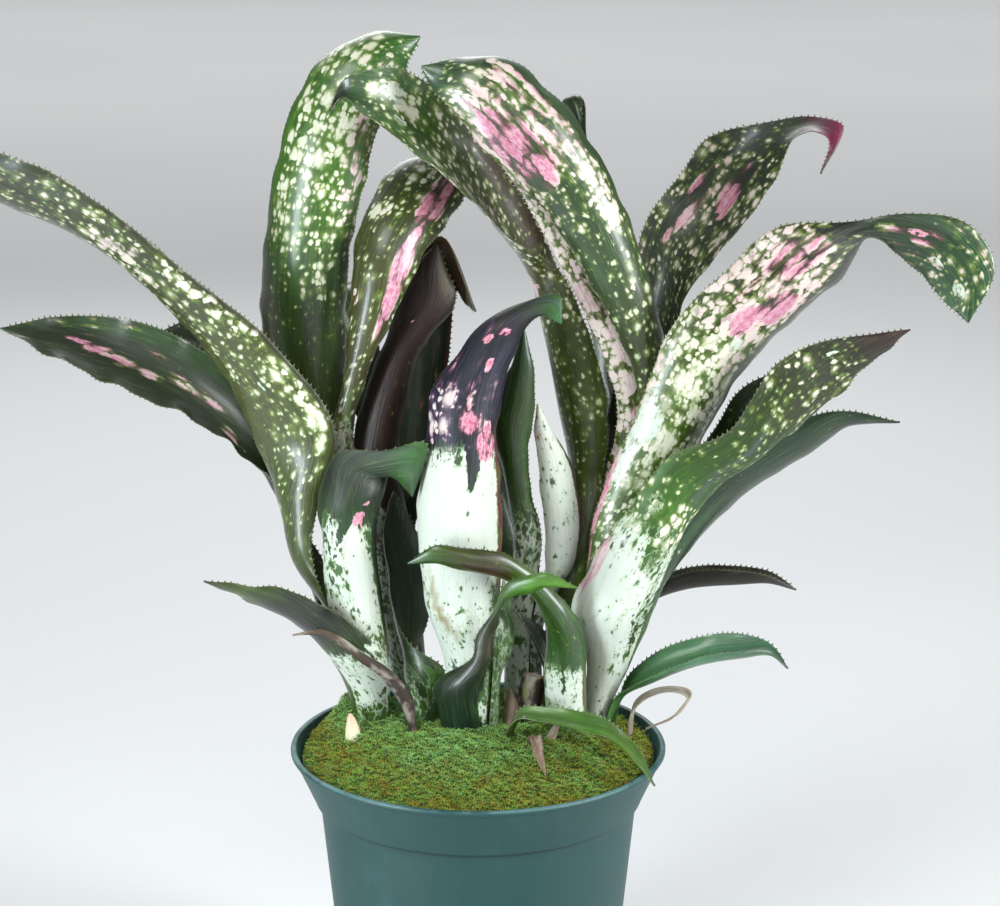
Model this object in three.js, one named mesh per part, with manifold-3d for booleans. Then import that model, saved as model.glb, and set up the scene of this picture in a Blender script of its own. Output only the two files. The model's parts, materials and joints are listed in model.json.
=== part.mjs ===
// A potted clump of a spotted tank bromeliad: eight leafy shoots and a few dry bracts
// stand in soil under a mound of moss, in a flared plastic nursery pot.
// Millimetres, +Z up. The origin is the centre of the pot's underside, -Y is the front.

import * as THREE from 'three';
import { mergeVertices } from 'three/addons/utils/BufferGeometryUtils.js';
import Module from 'manifold-3d';

// Pot
const POT_HEIGHT = 142;
const RIM_RADIUS = 82.5;
const COLLAR_HEIGHT = 24;
const COLLAR_FOOT_RADIUS = 72;
const COLLAR_STEP = 2.2;
const BOTTOM_RADIUS = 58;
const POT_WALL = 1.6;
const LIP_WIDTH = 2.6;
const LIP_HEIGHT = 2.4;
const POT_SIDES = 44;
const DRAIN_HOLES = 6;
const DRAIN_RADIUS = 5;
const DRAIN_CIRCLE = 44;

// Soil and moss
const FIT_GAP = 0.3;
const SOIL_TOP = 130;
const SOCKET_DEPTH = 4;
const MOSS_EDGE = 139;
const MOSS_DOME = 9.5;
const MOSS_RADIUS = 77;
const MOSS_FOOT_RADIUS = 73.4;
const MOSS_BUMP = 0.9;
const MOSS_RINGS = 7;
const MOSS_SECTORS = 30;

// Leaves
const BLADE_THICKNESS = 1.0;
const SHEATH_PITCH = 1.2;
const SHEATH_PITCH_GROWTH = 0.06;
const TOOTH_HEIGHT = 1.2;
const TOOTH_BASE = 2.2;
const TOOTH_LEAN = 0.7;
const TOOTH_SPACING = 9;
const STATION_SPACING = 24;
const TIP_RUN = 9;
const LEAF_FOOT = SOIL_TOP - SOCKET_DEPTH + FIT_GAP;
const LITTER_FOOT = SOIL_TOP + FIT_GAP;

// Each shoot is a slim tube of leaf sheaths: its axis and outer radius, [x, y, z, radius], upwards.
const SHOOTS = {
  left: [[-46, 14, 126, 7], [-47, 14, 150, 8], [-50, 13, 175, 12], [-55, 12, 205, 14.5], [-56, 12, 250, 15.5]],
  rear_left: [[-30, 44, 126, 7.5], [-31, 44, 150, 8.5], [-38, 44, 200, 13], [-45, 44, 250, 16]],
  small_left: [[-24, 16, 126, 4.5], [-24, 16, 150, 5.5]],
  middle: [[-4, 9, 126, 10.5], [-4.5, 9, 150, 13], [-3, 9, 172, 13], [-7, 9, 207, 18.5]],
  centre_rear: [[20, 38, 126, 7], [20, 38, 150, 8], [22, 38, 200, 8.5]],
  rear_right: [[38, 48, 126, 7.5], [38, 48, 150, 8.5], [44, 46, 200, 12], [52, 44, 250, 16]],
  right: [[53, 22, 126, 7], [53, 22, 150, 7.5], [58, 22, 172, 11.5], [60, 21, 195, 17], [62, 20, 215, 18.5]],
  pup: [[39, 8, 126, 7.5], [39, 8, 150, 8.5], [38, 6, 180, 9]],
  front: [[12, -11, 126, 2.8], [12, -11, 150, 2.8]],
};

// Dry bracts stand in the moss on the soil, each in a small hole of its own.
const LITTER = {
  dry_left: [[-27, 1, 130, 2.5], [-28, 1, 150, 2.5]],
  dry_right: [[66, 14, 130, 2.5], [66, 14, 150, 2.5]],
  dry_middle: [[22, 17, 130, 4.5], [22, 17, 150, 5]],
  dry_small: [[14, 10, 130, 3], [14, 10, 150, 3]],
  dry_scale: [[30, -8, 130, 3], [31, -8, 148, 3]],
  dry_strip: [[23, -17, 130, 2.2], [23, -18, 148, 2.2]],
};
const HOLE_CLEARANCE = 1.3;

// Leaf colours
const DARK_GREEN = 0x24401f;
const OLIVE = 0x5d6b2e;
const SPOTTED = 0x9aa27c;
const PALE = 0xd8dccb;
const PLUM = 0x3b2a3c;
const FRESH_GREEN = 0x5f9a3a;
const BROWN_GREEN = 0x4a4427;
const DRY = 0x8d7560;

// Every leaf: the shoot and layer it belongs to (0 is the outermost sheath), the compass angle
// its back faces, the angle its sheath wraps, the heights where it stays in the tube, then the
// blade's two margins as rows of [ax, ay, az, bx, by, bz, bulge], and the tip. The bulge is how
// far the back of the blade stands out from the straight line between its margins.
const LEAVES = [
  { name: 'left_low_leaf', shoot: 'left', layer: 0, facing: -100, wrap: 152, rings: [150, 168], color: DARK_GREEN,
    blade: [[-67, 15, 182, -40, 3, 179, 10], [-79, 13, 193, -58, -5, 201, 6], [-95, 6, 203, -79, -7, 213, 3]],
    tip: [-118, -12, 220] },
  { name: 'left_white_leaf', shoot: 'left', layer: 1, facing: -70, wrap: 160, rings: [150, 178, 205], color: PALE,
    blade: [[-68, 9, 236, -45, 13, 235, 12], [-68, 9, 258, -40, 13, 258, 13], [-61, 8, 271, -39, 11, 261, 8],
      [-40, 3, 274, -36, 7, 261, 3], [-22, 0, 278, -32, 3, 258, 2]],
    tip: [-28, 0, 254] },
  { name: 'left_arching_leaf', shoot: 'left', layer: 1, facing: 165, wrap: 84, rings: [150, 175, 198], color: OLIVE,
    blade: [[-72, 30, 222, -73, 11, 226, 10], [-87, 32, 243, -69, 15, 250, 8], [-95, 30, 264, -62, 18, 275, 5], [-109, 26, 299, -86, 8, 318, 6],
      [-135, 18, 336, -120, -4, 351, 6], [-164, 8, 364, -152, -16, 381, 6], [-200, 2, 381, -185, -20, 402, 5],
      [-218, -4, 388, -208, -20, 407, 3]],
    tip: [-235, -14, 394] },
  { name: 'left_spreading_leaf', shoot: 'left', layer: 0, facing: 134, wrap: 84, rings: [150, 175], color: DARK_GREEN,
    blade: [[-60, 32, 194, -69, 24, 193, 5], [-73, 42, 213, -76, 36, 212, 5], [-81, 50, 243, -85, 38, 240, 6],
      [-97, 52, 285, -105, 34, 265, 6], [-120, 50, 306, -124, 28, 281, 5], [-150, 44, 322, -155, 22, 297, 4],
      [-180, 32, 327, -179, 14, 311, 3]],
    tip: [-206, 16, 325] },
  { name: 'tall_left_leaf', shoot: 'rear_left', layer: 1, facing: -165, wrap: 140, rings: [150, 185, 215], color: SPOTTED,
    blade: [[-87, 58, 265, -57, 52, 271, 11], [-96, 52, 317, -59, 50, 313, 12], [-94, 48, 353, -56, 42, 354, 12],
      [-87, 46, 394, -49, 42, 385, 11], [-78, 48, 421, -43, 44, 408, 10], [-63, 54, 440, -34, 48, 426, 8],
      [-44, 62, 447, -30, 56, 435, 5]],
    tip: [-25, 62, 445] },
  { name: 'pink_edged_leaf', shoot: 'rear_left', layer: 0, facing: -100, wrap: 100, rings: [150, 185, 215], color: OLIVE,
    blade: [[-65, 32, 269, -55, 28, 272, 5], [-58, 30, 299, -48, 26, 303, 6], [-55, 30, 334, -33, 26, 335, 9],
      [-53, 36, 359, -23, 34, 355, 10], [-44, 48, 380, -14, 48, 365, 9], [-33, 60, 391, -6, 60, 377, 7]],
    tip: [-9, 72, 394] },
  { name: 'brown_green_leaf', shoot: 'rear_left', layer: 1, facing: -35, wrap: 96, rings: [150, 185, 215],
    color: BROWN_GREEN,
    blade: [[-56, 40, 262, -36, 38, 265, 8], [-51, 42, 287, -32, 40, 288, 7], [-41, 44, 314, -23, 42, 314, 7],
      [-33, 46, 334, -10, 44, 331, 5], [-26, 48, 348, -14, 46, 346, 3]],
    tip: [-18, 48, 356] },
  { name: 'dark_arching_leaf', shoot: 'rear_left', layer: 2, facing: 60, wrap: 84, rings: [150, 185, 215],
    color: DARK_GREEN,
    blade: [[-18, 64, 263, -36, 58, 265, 6], [-13, 64, 307, -33, 58, 315, 5], [-9, 60, 333, -28, 54, 352, 4],
      [-7, 54, 330, -18, 50, 359, 2]],
    tip: [-1, 46, 326] },
  { name: 'left_rear_leaf', shoot: 'rear_left', layer: 1, facing: 99, wrap: 44, rings: [150, 185, 215],
    color: DARK_GREEN,
    blade: [[-62, 74, 256, -76, 67, 251, 6], [-94, 73, 300, -102, 58, 286, 5], [-129, 69, 318, -126, 55, 307, 4]],
    tip: [-143, 61, 314] },
  { name: 'rear_left_arching_leaf', shoot: 'rear_left', layer: 0, facing: 58, wrap: 50, rings: [150, 185, 215],
    color: OLIVE,
    blade: [[-32, 75, 256, -50, 77, 257, 6], [-46, 93, 300, -70, 96, 299, 6], [-55, 117, 326, -80, 121, 325, 5],
      [-58, 148, 321, -79, 151, 320, 4]],
    tip: [-69, 179, 296] },
  { name: 'glossy_dark_leaf', shoot: 'small_left', layer: 0, facing: -100, wrap: 170, rings: [146],
    color: DARK_GREEN,
    blade: [[-30, 15, 157, -18, 13, 158, 6], [-32, 21, 170, -15, 8, 173, 8], [-24, 28, 185, -31, 10, 185, 7],
      [-22, 29, 206, -39, 12, 213, 6], [-26, 28, 227, -41, 14, 235, 5], [-31, 26, 239, -40, 18, 244, 3]],
    tip: [-37, 22, 251] },
  { name: 'white_plum_leaf', shoot: 'middle', layer: 1, facing: -95, wrap: 210, rings: [150, 172, 207], color: PLUM,
    blade: [[-25, 9, 223, 10, 9, 223, 17], [-26, 9, 250, 10, 9, 255, 17], [-22, 10, 277, 8, 10, 280, 14],
      [-20, 12, 298, 11, 12, 298, 12], [-11, 14, 311, 15, 13, 313, 9], [5, 16, 329, 22, 14, 327, 6],
      [19, 17, 336, 27, 15, 331, 3], [35, 18, 339, 30, 15, 330, 1.5]],
    tip: [36, 14, 327] },
  { name: 'dark_front_leaf', shoot: 'middle', layer: 0, facing: -105, wrap: 110, rings: [150], color: DARK_GREEN,
    blade: [[-17, 2, 171, 3, -6, 174, 6], [-3, -7, 183, 5, -8, 184, 2], [1, -8, 197, 8, -9, 198, 2],
      [7, -11, 206, 10, -12, 209, 1.5], [13, -16, 220, 16, -16, 214, 1.5], [27, -20, 226, 27, -20, 219, 2]],
    tip: [43, -22, 220] },
  { name: 'mottled_sheath_leaf', shoot: 'middle', layer: 0, facing: 10, wrap: 110, rings: [150, 172], color: PALE,
    blade: [[7, -3, 190, 12, 18, 183, 6]],
    tip: [11, 12, 215] },
  { name: 'middle_rear_leaf', shoot: 'middle', layer: 1, facing: 85, wrap: 120, rings: [150, 172, 207], color: PALE,
    blade: [[10, 16, 248, -20, 16, 248, 10], [5, 20, 279, -17, 20, 279, 8]],
    tip: [-4, 28, 313] },
  { name: 'green_tipped_leaf', shoot: 'centre_rear', layer: 0, facing: -150, wrap: 150, rings: [150, 190],
    color: DARK_GREEN,
    blade: [[16, 36, 221, 28, 30, 224, 5], [12, 32, 255, 22, 26, 259, 5], [7, 28, 279, 23, 24, 278, 5],
      [12, 26, 300, 25, 24, 292, 5], [16, 24, 311, 23, 22, 311, 3]],
    tip: [20, 22, 324] },
  { name: 'white_mottled_leaf', shoot: 'centre_rear', layer: 0, facing: -20, wrap: 100, rings: [150, 190],
    color: PALE,
    blade: [[30, 29, 217, 44, 30, 220, 5], [28, 27, 246, 45, 28, 245, 6], [26, 27, 266, 39, 29, 265, 5],
      [25, 28, 279, 31, 29, 279, 3]],
    tip: [26, 28, 289] },
  { name: 'centre_rear_leaf', shoot: 'centre_rear', layer: 0, facing: 87, wrap: 64, rings: [150, 190],
    color: DARK_GREEN,
    blade: [[22, 54, 218, 6, 56, 218, 6], [14, 68, 252, -8, 70, 252, 6], [10, 92, 276, -14, 94, 276, 5],
      [4, 118, 282, -16, 120, 282, 4]],
    tip: [-8, 146, 266] },
  { name: 'arching_left_leaf', shoot: 'rear_right', layer: 0, facing: -140, wrap: 130, rings: [150, 185, 215],
    color: OLIVE,
    blade: [[51, 66, 244, 56, 46, 253, 12], [48, 70, 281, 57, 47, 286, 17], [43, 72, 313, 47, 47, 321, 16],
      [34, 72, 344, 36, 46, 344, 13], [18, 62, 380, 16, 38, 359, 10], [-6, 46, 413, -6, 26, 382, 7],
      [-25, 36, 430, -28, 22, 401, 6], [-42, 28, 435, -47, 14, 417, 5], [-56, 22, 431, -56, 14, 424, 3]],
    tip: [-62, 10, 419] },
  { name: 'great_arching_leaf', shoot: 'rear_right', layer: 0, facing: -30, wrap: 80, rings: [150, 185, 215],
    color: SPOTTED,
    blade: [[60, 42, 250, 79, 44, 255, 8], [71, 38, 284, 84, 42, 289, 6], [60, 30, 321, 77, 36, 333, 8],
      [49, 26, 342, 71, 33, 353, 9], [28, 20, 376, 54, 28, 394, 10], [2, 18, 403, 30, 26, 426, 9],
      [-12, 20, 420, 9, 28, 440, 7], [-20, 24, 428, -9, 29, 439, 3]],
    tip: [-24, 26, 436] },
  { name: 'pink_strip_leaf', shoot: 'rear_right', layer: 1, facing: -60, wrap: 110, rings: [150, 185, 215],
    color: SPOTTED,
    blade: [[55, 50, 248, 73, 52, 250, 6], [62, 44, 278, 77, 50, 281, 5], [55, 38, 308, 71, 44, 314, 4],
      [44, 35, 333, 60, 42, 339, 3], [33, 32, 355, 49, 39, 363, 3], [18, 30, 382, 33, 37, 391, 3]],
    tip: [6, 34, 399] },
  { name: 'right_rear_leaf', shoot: 'rear_right', layer: 1, facing: 50, wrap: 70, rings: [150, 185, 215],
    color: DARK_GREEN,
    blade: [[77, 62, 273, 60, 74, 280, 8], [86, 60, 310, 68, 80, 325, 8], [94, 60, 333, 75, 86, 358, 8],
      [115, 64, 359, 91, 90, 380, 7], [131, 66, 381, 105, 90, 398, 6], [137, 64, 397, 124, 84, 404, 4],
      [146, 60, 404, 149, 70, 409, 1.5], [153, 54, 401, 159, 56, 407, 1.5]],
    tip: [149, 46, 387] },
  { name: 'rear_curled_leaf', shoot: 'rear_right', layer: 0, facing: 107, wrap: 84, rings: [150, 185, 215],
    color: DARK_GREEN,
    blade: [[74, 76, 270, 56, 84, 268, 7], [74, 92, 308, 51, 96, 308, 6], [66, 102, 348, 42, 106, 350, 6],
      [50, 104, 390, 33, 110, 389, 5], [47, 100, 413, 38, 106, 410, 3]],
    tip: [46, 92, 403] },
  { name: 'great_spotted_leaf', shoot: 'right', layer: 2, facing: -105, wrap: 140, rings: [150, 172, 205],
    color: SPOTTED,
    blade: [[52, 24, 242, 82, 34, 241, 11], [69, 20, 286, 98, 34, 271, 12], [85, 18, 327, 117, 32, 304, 12],
      [107, 18, 350, 138, 30, 327, 11], [131, 20, 369, 159, 28, 347, 9], [157, 22, 370, 168, 25, 363, 3],
      [185, 20, 374, 179, 22, 357, 2], [207, 18, 371, 189, 22, 349, 3], [221, 16, 349, 201, 20, 336, 2]],
    tip: [211, 16, 327] },
  { name: 'right_sheath_leaf', shoot: 'right', layer: 1, facing: -85, wrap: 180, rings: [150, 172], color: PALE,
    blade: [[42, 18, 202, 79, 22, 202, 18], [50, 12, 221, 82, 22, 215, 16], [66, 6, 248, 88, 22, 231, 12],
      [82, 2, 271, 104, 20, 253, 9], [108, 2, 283, 124, 18, 270, 8], [127, 4, 311, 145, 16, 286, 7],
      [145, 8, 320, 161, 16, 301, 4], [168, 12, 323, 175, 15, 315, 2]],
    tip: [186, 14, 325] },
  { name: 'emerald_leaf', shoot: 'right', layer: 2, facing: 15, wrap: 90, rings: [150, 172],
    color: DARK_GREEN,
    blade: [[73, 30, 214, 84, 46, 204, 6], [89, 28, 244, 103, 48, 227, 6], [113, 26, 267, 124, 44, 248, 6],
      [137, 26, 280, 146, 40, 263, 5], [157, 26, 286, 163, 34, 277, 2.5]],
    tip: [185, 26, 281] },
  { name: 'right_inner_leaf', shoot: 'right', layer: 3, facing: 76, wrap: 70, rings: [150, 172, 195],
    color: DARK_GREEN,
    blade: [[83, 44, 241, 94, 60, 236, 6], [105, 42, 274, 119, 58, 260, 5], [118, 40, 294, 133, 50, 286, 4]],
    tip: [138, 42, 303] },
  { name: 'right_low_leaf', shoot: 'right', layer: -1, facing: -30, wrap: 60, rings: [150], color: FRESH_GREEN,
    blade: [[61, 14, 158, 65, 24, 161, 3], [74, 8, 168, 77, 24, 174, 6], [94, 4, 179, 99, 24, 183, 7],
      [115, 0, 184, 118, 18, 186, 6], [129, 0, 182, 130, 8, 184, 1.5]],
    tip: [136, 0, 176] },
  { name: 'right_short_leaf', shoot: 'right', layer: 0, facing: 85, wrap: 80, rings: [150, 172],
    color: BROWN_GREEN,
    blade: [[78, 52, 197, 76, 66, 195, 7], [91, 50, 204, 91, 64, 202, 8], [117, 46, 207, 119, 60, 205, 7],
      [131, 44, 205, 133, 54, 204, 4]],
    tip: [144, 46, 198] },
  { name: 'pup_leaf', shoot: 'pup', layer: 0, facing: -80, wrap: 200, rings: [150, 175], color: FRESH_GREEN,
    blade: [[30, 4, 188, 47, 6, 187, 9], [27, -2, 205, 40, -2, 205, 6], [22, -6, 213, 29, -6, 217, 3.5],
      [12, -10, 220, 15, -10, 230, 3], [-3, -15, 225, -2, -15, 235, 3], [-17, -17, 229, -18, -17, 237, 2]],
    tip: [-30, -16, 229] },
  { name: 'pup_inner_leaf', shoot: 'pup', layer: 1, facing: 150, wrap: 120, rings: [150, 168], color: DARK_GREEN,
    blade: [[35, 22, 173, 31, 12, 172, 4], [30, 24, 185, 26, 15, 182, 3]],
    tip: [17, 18, 197] },
  { name: 'trailing_front_leaf', shoot: 'front', layer: 0, facing: -30, wrap: 160, rings: [150],
    color: FRESH_GREEN,
    blade: [[17, -15, 158, 18, -7, 160, 2], [28, -20, 159, 30, -10, 162, 2.5], [42, -30, 159, 45, -16, 162, 3],
      [56, -38, 158, 58, -28, 161, 3], [66, -48, 153, 69, -40, 153, 2]],
    tip: [75, -56, 143] },
  { name: 'left_dry_leaf', shoot: 'dry_left', layer: 0, facing: -130, wrap: 120, rings: [148], color: DRY, dry: true,
    blade: [[-35, -1, 162, -29, 1, 163, 2], [-51, -5, 181, -49, -4, 184, 1], [-70, -4, 193, -69, -3, 195, 0.7]],
    tip: [-81, -5, 193] },
  { name: 'right_dry_leaf', shoot: 'dry_right', layer: 0, facing: -20, wrap: 120, rings: [144], color: DRY, dry: true,
    blade: [[68, 12, 152, 69, 16, 154, 1], [84, 8, 163, 85, 12, 164, 1], [92, 3, 162, 94, 5, 164, 1],
      [86, -3, 155, 89, -1, 156, 0.7]],
    tip: [73, -8, 151] },
  { name: 'brown_dry_leaf', shoot: 'dry_middle', layer: 0, facing: -90, wrap: 150, rings: [150], color: DRY, dry: true,
    blade: [[18, 16, 161, 29, 15, 161, 4], [21, 14, 170, 29, 10, 169, 2]],
    tip: [34, 5, 167] },
  { name: 'tan_bract', shoot: 'dry_small', layer: 0, facing: -90, wrap: 150, rings: [148], color: DRY, dry: true,
    blade: [[12, 10, 156, 18, 9, 155, 2]],
    tip: [14, 11, 164] },
  { name: 'papery_scale', shoot: 'dry_scale', layer: 0, facing: -60, wrap: 120, rings: [148], color: DRY, dry: true,
    blade: [[35, -13, 156, 37, -5, 156, 1.5], [46, -13, 154, 47, -6, 154, 1]],
    tip: [56, -11, 151] },
  { name: 'dry_strip', shoot: 'dry_strip', layer: 0, facing: -90, wrap: 100, rings: [149], color: DRY, dry: true,
    blade: [[22, -27, 155, 27, -26, 155, 0.8], [24, -41, 152, 28, -39, 152, 0.6]],
    tip: [29, -54, 147] },
];

const wasm = await Module();
wasm.setup();

// A smooth curve through rows of numbers, measured in millimetres along their middles. At each
// row the slope is the mean of the slopes on its two sides, weighted towards the nearer row.
function smoothCurve(rows) {
  const knots = [0];
  for (let i = 1; i < rows.length; i += 1) {
    knots.push(knots[i - 1] + middleOf(rows[i]).distanceTo(middleOf(rows[i - 1])));
  }
  const last = rows.length - 1;
  const rise = (i) => rows[i].map((value, k) => (rows[i + 1][k] - value) / (knots[i + 1] - knots[i]));
  const slopes = rows.map((row, i) => {
    if (i === 0) return rise(0);
    if (i === last) return rise(last - 1);
    const before = knots[i] - knots[i - 1];
    const after = knots[i + 1] - knots[i];
    const low = rise(i - 1);
    const high = rise(i);
    return row.map((_, k) => (low[k] * after + high[k] * before) / (before + after));
  });
  return { rows, knots, slopes, length: knots[last] };
}

function valuesAt(curve, distance) {
  const { rows, knots, slopes } = curve;
  const d = Math.min(Math.max(distance, 0), curve.length);
  let i = 0;
  while (i + 2 < knots.length && knots[i + 1] < d) i += 1;
  const span = knots[i + 1] - knots[i];
  const s = (d - knots[i]) / span;
  return rows[i].map((start, k) => {
    const end = rows[i + 1][k];
    const leave = slopes[i][k] * span;
    const arrive = slopes[i + 1][k] * span;
    const a = 2 * (start - end) + leave + arrive;
    const b = 3 * (end - start) - 2 * leave - arrive;
    return ((a * s + b) * s + leave) * s + start;
  });
}

// The axis and radius of a shoot at a height.
function shootAt(profile, z) {
  let upper = profile.findIndex((row) => row[2] >= z);
  if (upper < 0) upper = profile.length - 1;
  upper = Math.max(upper, 1);
  const [x0, y0, z0, r0] = profile[upper - 1];
  const [x1, y1, z1, r1] = profile[upper];
  const s = (z - z0) / (z1 - z0);
  return { x: x0 + (x1 - x0) * s, y: y0 + (y1 - y0) * s, radius: r0 + (r1 - r0) * s };
}

// A sheath ring as the same kind of row as the blade's: two margins on a circle, and the bulge.
function sheathRow(leaf, profile, z) {
  const { x, y, radius } = shootAt(profile, z);
  const r = radius - leaf.layer * (SHEATH_PITCH + SHEATH_PITCH_GROWTH * radius);
  const middle = THREE.MathUtils.degToRad(leaf.facing);
  const half = THREE.MathUtils.degToRad(leaf.wrap / 2);
  return [
    x + r * Math.cos(middle - half), y + r * Math.sin(middle - half), z,
    x + r * Math.cos(middle + half), y + r * Math.sin(middle + half), z,
    r * (1 - Math.cos(half)),
  ];
}

function leafRows(leaf) {
  const inMoss = leaf.shoot in LITTER;
  const profile = inMoss ? LITTER[leaf.shoot] : SHOOTS[leaf.shoot];
  const foot = inMoss ? LITTER_FOOT : LEAF_FOOT;
  const rings = [foot, ...leaf.rings].map((z) => sheathRow(leaf, profile, z));
  return [...rings, ...leaf.blade, [...leaf.tip, ...leaf.tip, 0]];
}

// Evenly spaced distances along a leaf, the last one short of the tip.
function stationDistances(curve) {
  const run = curve.length - TIP_RUN;
  const count = Math.max(3, Math.round(run / STATION_SPACING));
  return Array.from({ length: count + 1 }, (_, k) => (run * k) / count);
}

function middleOf(row) {
  return new THREE.Vector3((row[0] + row[3]) / 2, (row[1] + row[4]) / 2, (row[2] + row[5]) / 2);
}

// One station across a leaf: the arc between its margins, and the directions needed to thicken it.
function crossSection(curve, distance) {
  const row = valuesAt(curve, distance);
  const ahead = middleOf(valuesAt(curve, distance + 0.5));
  const behind = middleOf(valuesAt(curve, distance - 0.5));
  const along = distance === 0 ? new THREE.Vector3(0, 0, 1) : ahead.sub(behind).normalize();
  const marginA = new THREE.Vector3(row[0], row[1], row[2]);
  const marginB = new THREE.Vector3(row[3], row[4], row[5]);
  const across = marginB.clone().sub(marginA);
  const chord = across.length();
  across.normalize();
  const out = across.clone().cross(along).normalize();
  const bulge = Math.max(row[6], 0.02);
  const halfAngle = 2 * Math.atan((2 * bulge) / chord);
  const radius = chord / 2 / Math.sin(halfAngle);
  const centre = marginA.clone().add(marginB).multiplyScalar(0.5).addScaledVector(out, -radius * Math.cos(halfAngle));
  const at = (v) => {
    const angle = v * halfAngle;
    const normal = out.clone().multiplyScalar(Math.cos(angle)).addScaledVector(across, Math.sin(angle));
    return { point: centre.clone().addScaledVector(normal, radius), normal };
  };
  const edge = (side) => across.clone().multiplyScalar(side * Math.cos(halfAngle))
    .addScaledVector(out, -Math.sin(halfAngle));
  return { at, edge, along, chord };
}

// A leaf is one closed blade: thickest along its middle, knife thin at its margins, with
// forward-leaning teeth on the margins of the blade, and flat at the foot.
function leafGeometry(leaf) {
  const curve = smoothCurve(leafRows(leaf));
  const distances = stationDistances(curve);
  const bladeStart = curve.knots[leaf.rings.length] + 8;
  const sections = distances.map((distance) => crossSection(curve, distance));
  const widest = Math.max(...sections.map((section) => section.chord));
  const columns = widest > 17 || leaf.wrap > 140 ? 6 : 4;
  const positions = [];
  const triangles = [];
  const addVertex = (p) => positions.push(p.x, p.y, p.z) / 3 - 1;
  const face = (outer, a, b, c) => (outer ? triangles.push(a, b, c) : triangles.push(a, c, b));

  const stations = sections.map((section) => {
    const outer = [];
    const inner = [];
    for (let j = 0; j <= columns; j += 1) {
      const v = (2 * j) / columns - 1;
      const { point, normal } = section.at(v);
      const half = (BLADE_THICKNESS / 2) * Math.sqrt(1 - v * v * v * v);
      outer.push(addVertex(point.clone().addScaledVector(normal, half)));
      const atMargin = j === 0 || j === columns;
      inner.push(atMargin ? outer[j] : addVertex(point.clone().addScaledVector(normal, -half)));
    }
    return { outer, inner };
  });

  // The margin from one station to the next, with its teeth.
  const marginLine = (k, j) => {
    const from = sections[k].at(j === 0 ? -1 : 1).point;
    const to = sections[k + 1].at(j === 0 ? -1 : 1).point;
    const line = [stations[k].outer[j]];
    const length = from.distanceTo(to);
    const smooth = leaf.dry || distances[k + 1] < bladeStart;
    const teeth = smooth ? 0 : Math.min(2, Math.floor(length / TOOTH_SPACING));
    const outward = sections[k].edge(j === 0 ? -1 : 1).add(sections[k + 1].edge(j === 0 ? -1 : 1)).normalize();
    for (let tooth = 0; tooth < teeth; tooth += 1) {
      const middle = (tooth + 0.5) / teeth;
      const half = TOOTH_BASE / 2 / length;
      const root = from.clone().lerp(to, middle - half);
      const apex = from.clone().lerp(to, middle + TOOTH_LEAN / length).addScaledVector(outward, TOOTH_HEIGHT);
      const heel = from.clone().lerp(to, middle + half);
      line.push(addVertex(root), addVertex(apex), addVertex(heel));
    }
    line.push(stations[k + 1].outer[j]);
    return line;
  };

  for (let k = 0; k + 1 < stations.length; k += 1) {
    const lineA = marginLine(k, 0);
    const lineB = marginLine(k, columns);
    for (const side of ['outer', 'inner']) {
      const isOuter = side === 'outer';
      const low = stations[k][side];
      const high = stations[k + 1][side];
      for (let j = 1; j + 1 < columns; j += 1) {
        face(isOuter, low[j], low[j + 1], high[j]);
        face(isOuter, low[j + 1], high[j + 1], high[j]);
      }
      const turn = Math.floor((lineA.length - 1) / 2);
      for (let i = 0; i + 1 < lineA.length; i += 1) {
        const hub = i < turn ? low : high;
        face(isOuter, lineA[i], hub[1], lineA[i + 1]);
        if (i + 1 === turn || (turn === 0 && i === 0)) face(isOuter, lineA[turn], low[1], high[1]);
      }
      const turnB = Math.floor((lineB.length - 1) / 2);
      for (let i = 0; i + 1 < lineB.length; i += 1) {
        const hub = i < turnB ? low : high;
        face(isOuter, hub[columns - 1], lineB[i], lineB[i + 1]);
        if (i + 1 === turnB || (turnB === 0 && i === 0)) {
          face(isOuter, low[columns - 1], lineB[turnB], high[columns - 1]);
        }
      }
    }
  }

  const foot = stations[0];
  for (let j = 0; j < columns; j += 1) {
    if (j > 0) triangles.push(foot.outer[j], foot.inner[j], foot.inner[j + 1]);
    if (j < columns - 1) triangles.push(foot.outer[j], foot.inner[j + 1], foot.outer[j + 1]);
  }
  const tip = addVertex(new THREE.Vector3(...leaf.tip));
  const end = stations[stations.length - 1];
  for (let j = 0; j < columns; j += 1) {
    face(true, end.outer[j], end.outer[j + 1], tip);
    face(false, end.inner[j], end.inner[j + 1], tip);
  }

  const geometry = new THREE.BufferGeometry();
  geometry.setAttribute('position', new THREE.Float32BufferAttribute(positions, 3));
  geometry.setIndex(triangles);
  return geometry;
}

// Solids for joining and cutting, and back again.
function toSolid(geometry) {
  const bare = geometry.clone();
  bare.deleteAttribute('normal');
  bare.deleteAttribute('uv');
  const merged = mergeVertices(bare, 1e-4);
  const mesh = new wasm.Mesh({
    numProp: 3,
    vertProperties: new Float32Array(merged.attributes.position.array),
    triVerts: new Uint32Array(merged.index.array),
  });
  return new wasm.Manifold(mesh);
}

function toGeometry(solid) {
  const mesh = solid.getMesh();
  const geometry = new THREE.BufferGeometry();
  geometry.setAttribute('position', new THREE.BufferAttribute(new Float32Array(mesh.vertProperties), 3));
  geometry.setIndex(new THREE.BufferAttribute(new Uint32Array(mesh.triVerts), 1));
  return geometry;
}

// An upright cylinder as a cutter.
function uprightCylinder(x, y, radius, bottom, top, sides = 10) {
  const geometry = new THREE.CylinderGeometry(radius, radius, top - bottom, sides);
  geometry.rotateX(Math.PI / 2);
  geometry.translate(x, y, (top + bottom) / 2);
  return toSolid(geometry);
}

function turned(points, sides) {
  const profile = points.map(([r, z]) => new THREE.Vector2(r, z));
  const geometry = new THREE.LatheGeometry(profile, sides);
  geometry.rotateX(Math.PI / 2);
  return geometry;
}

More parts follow.
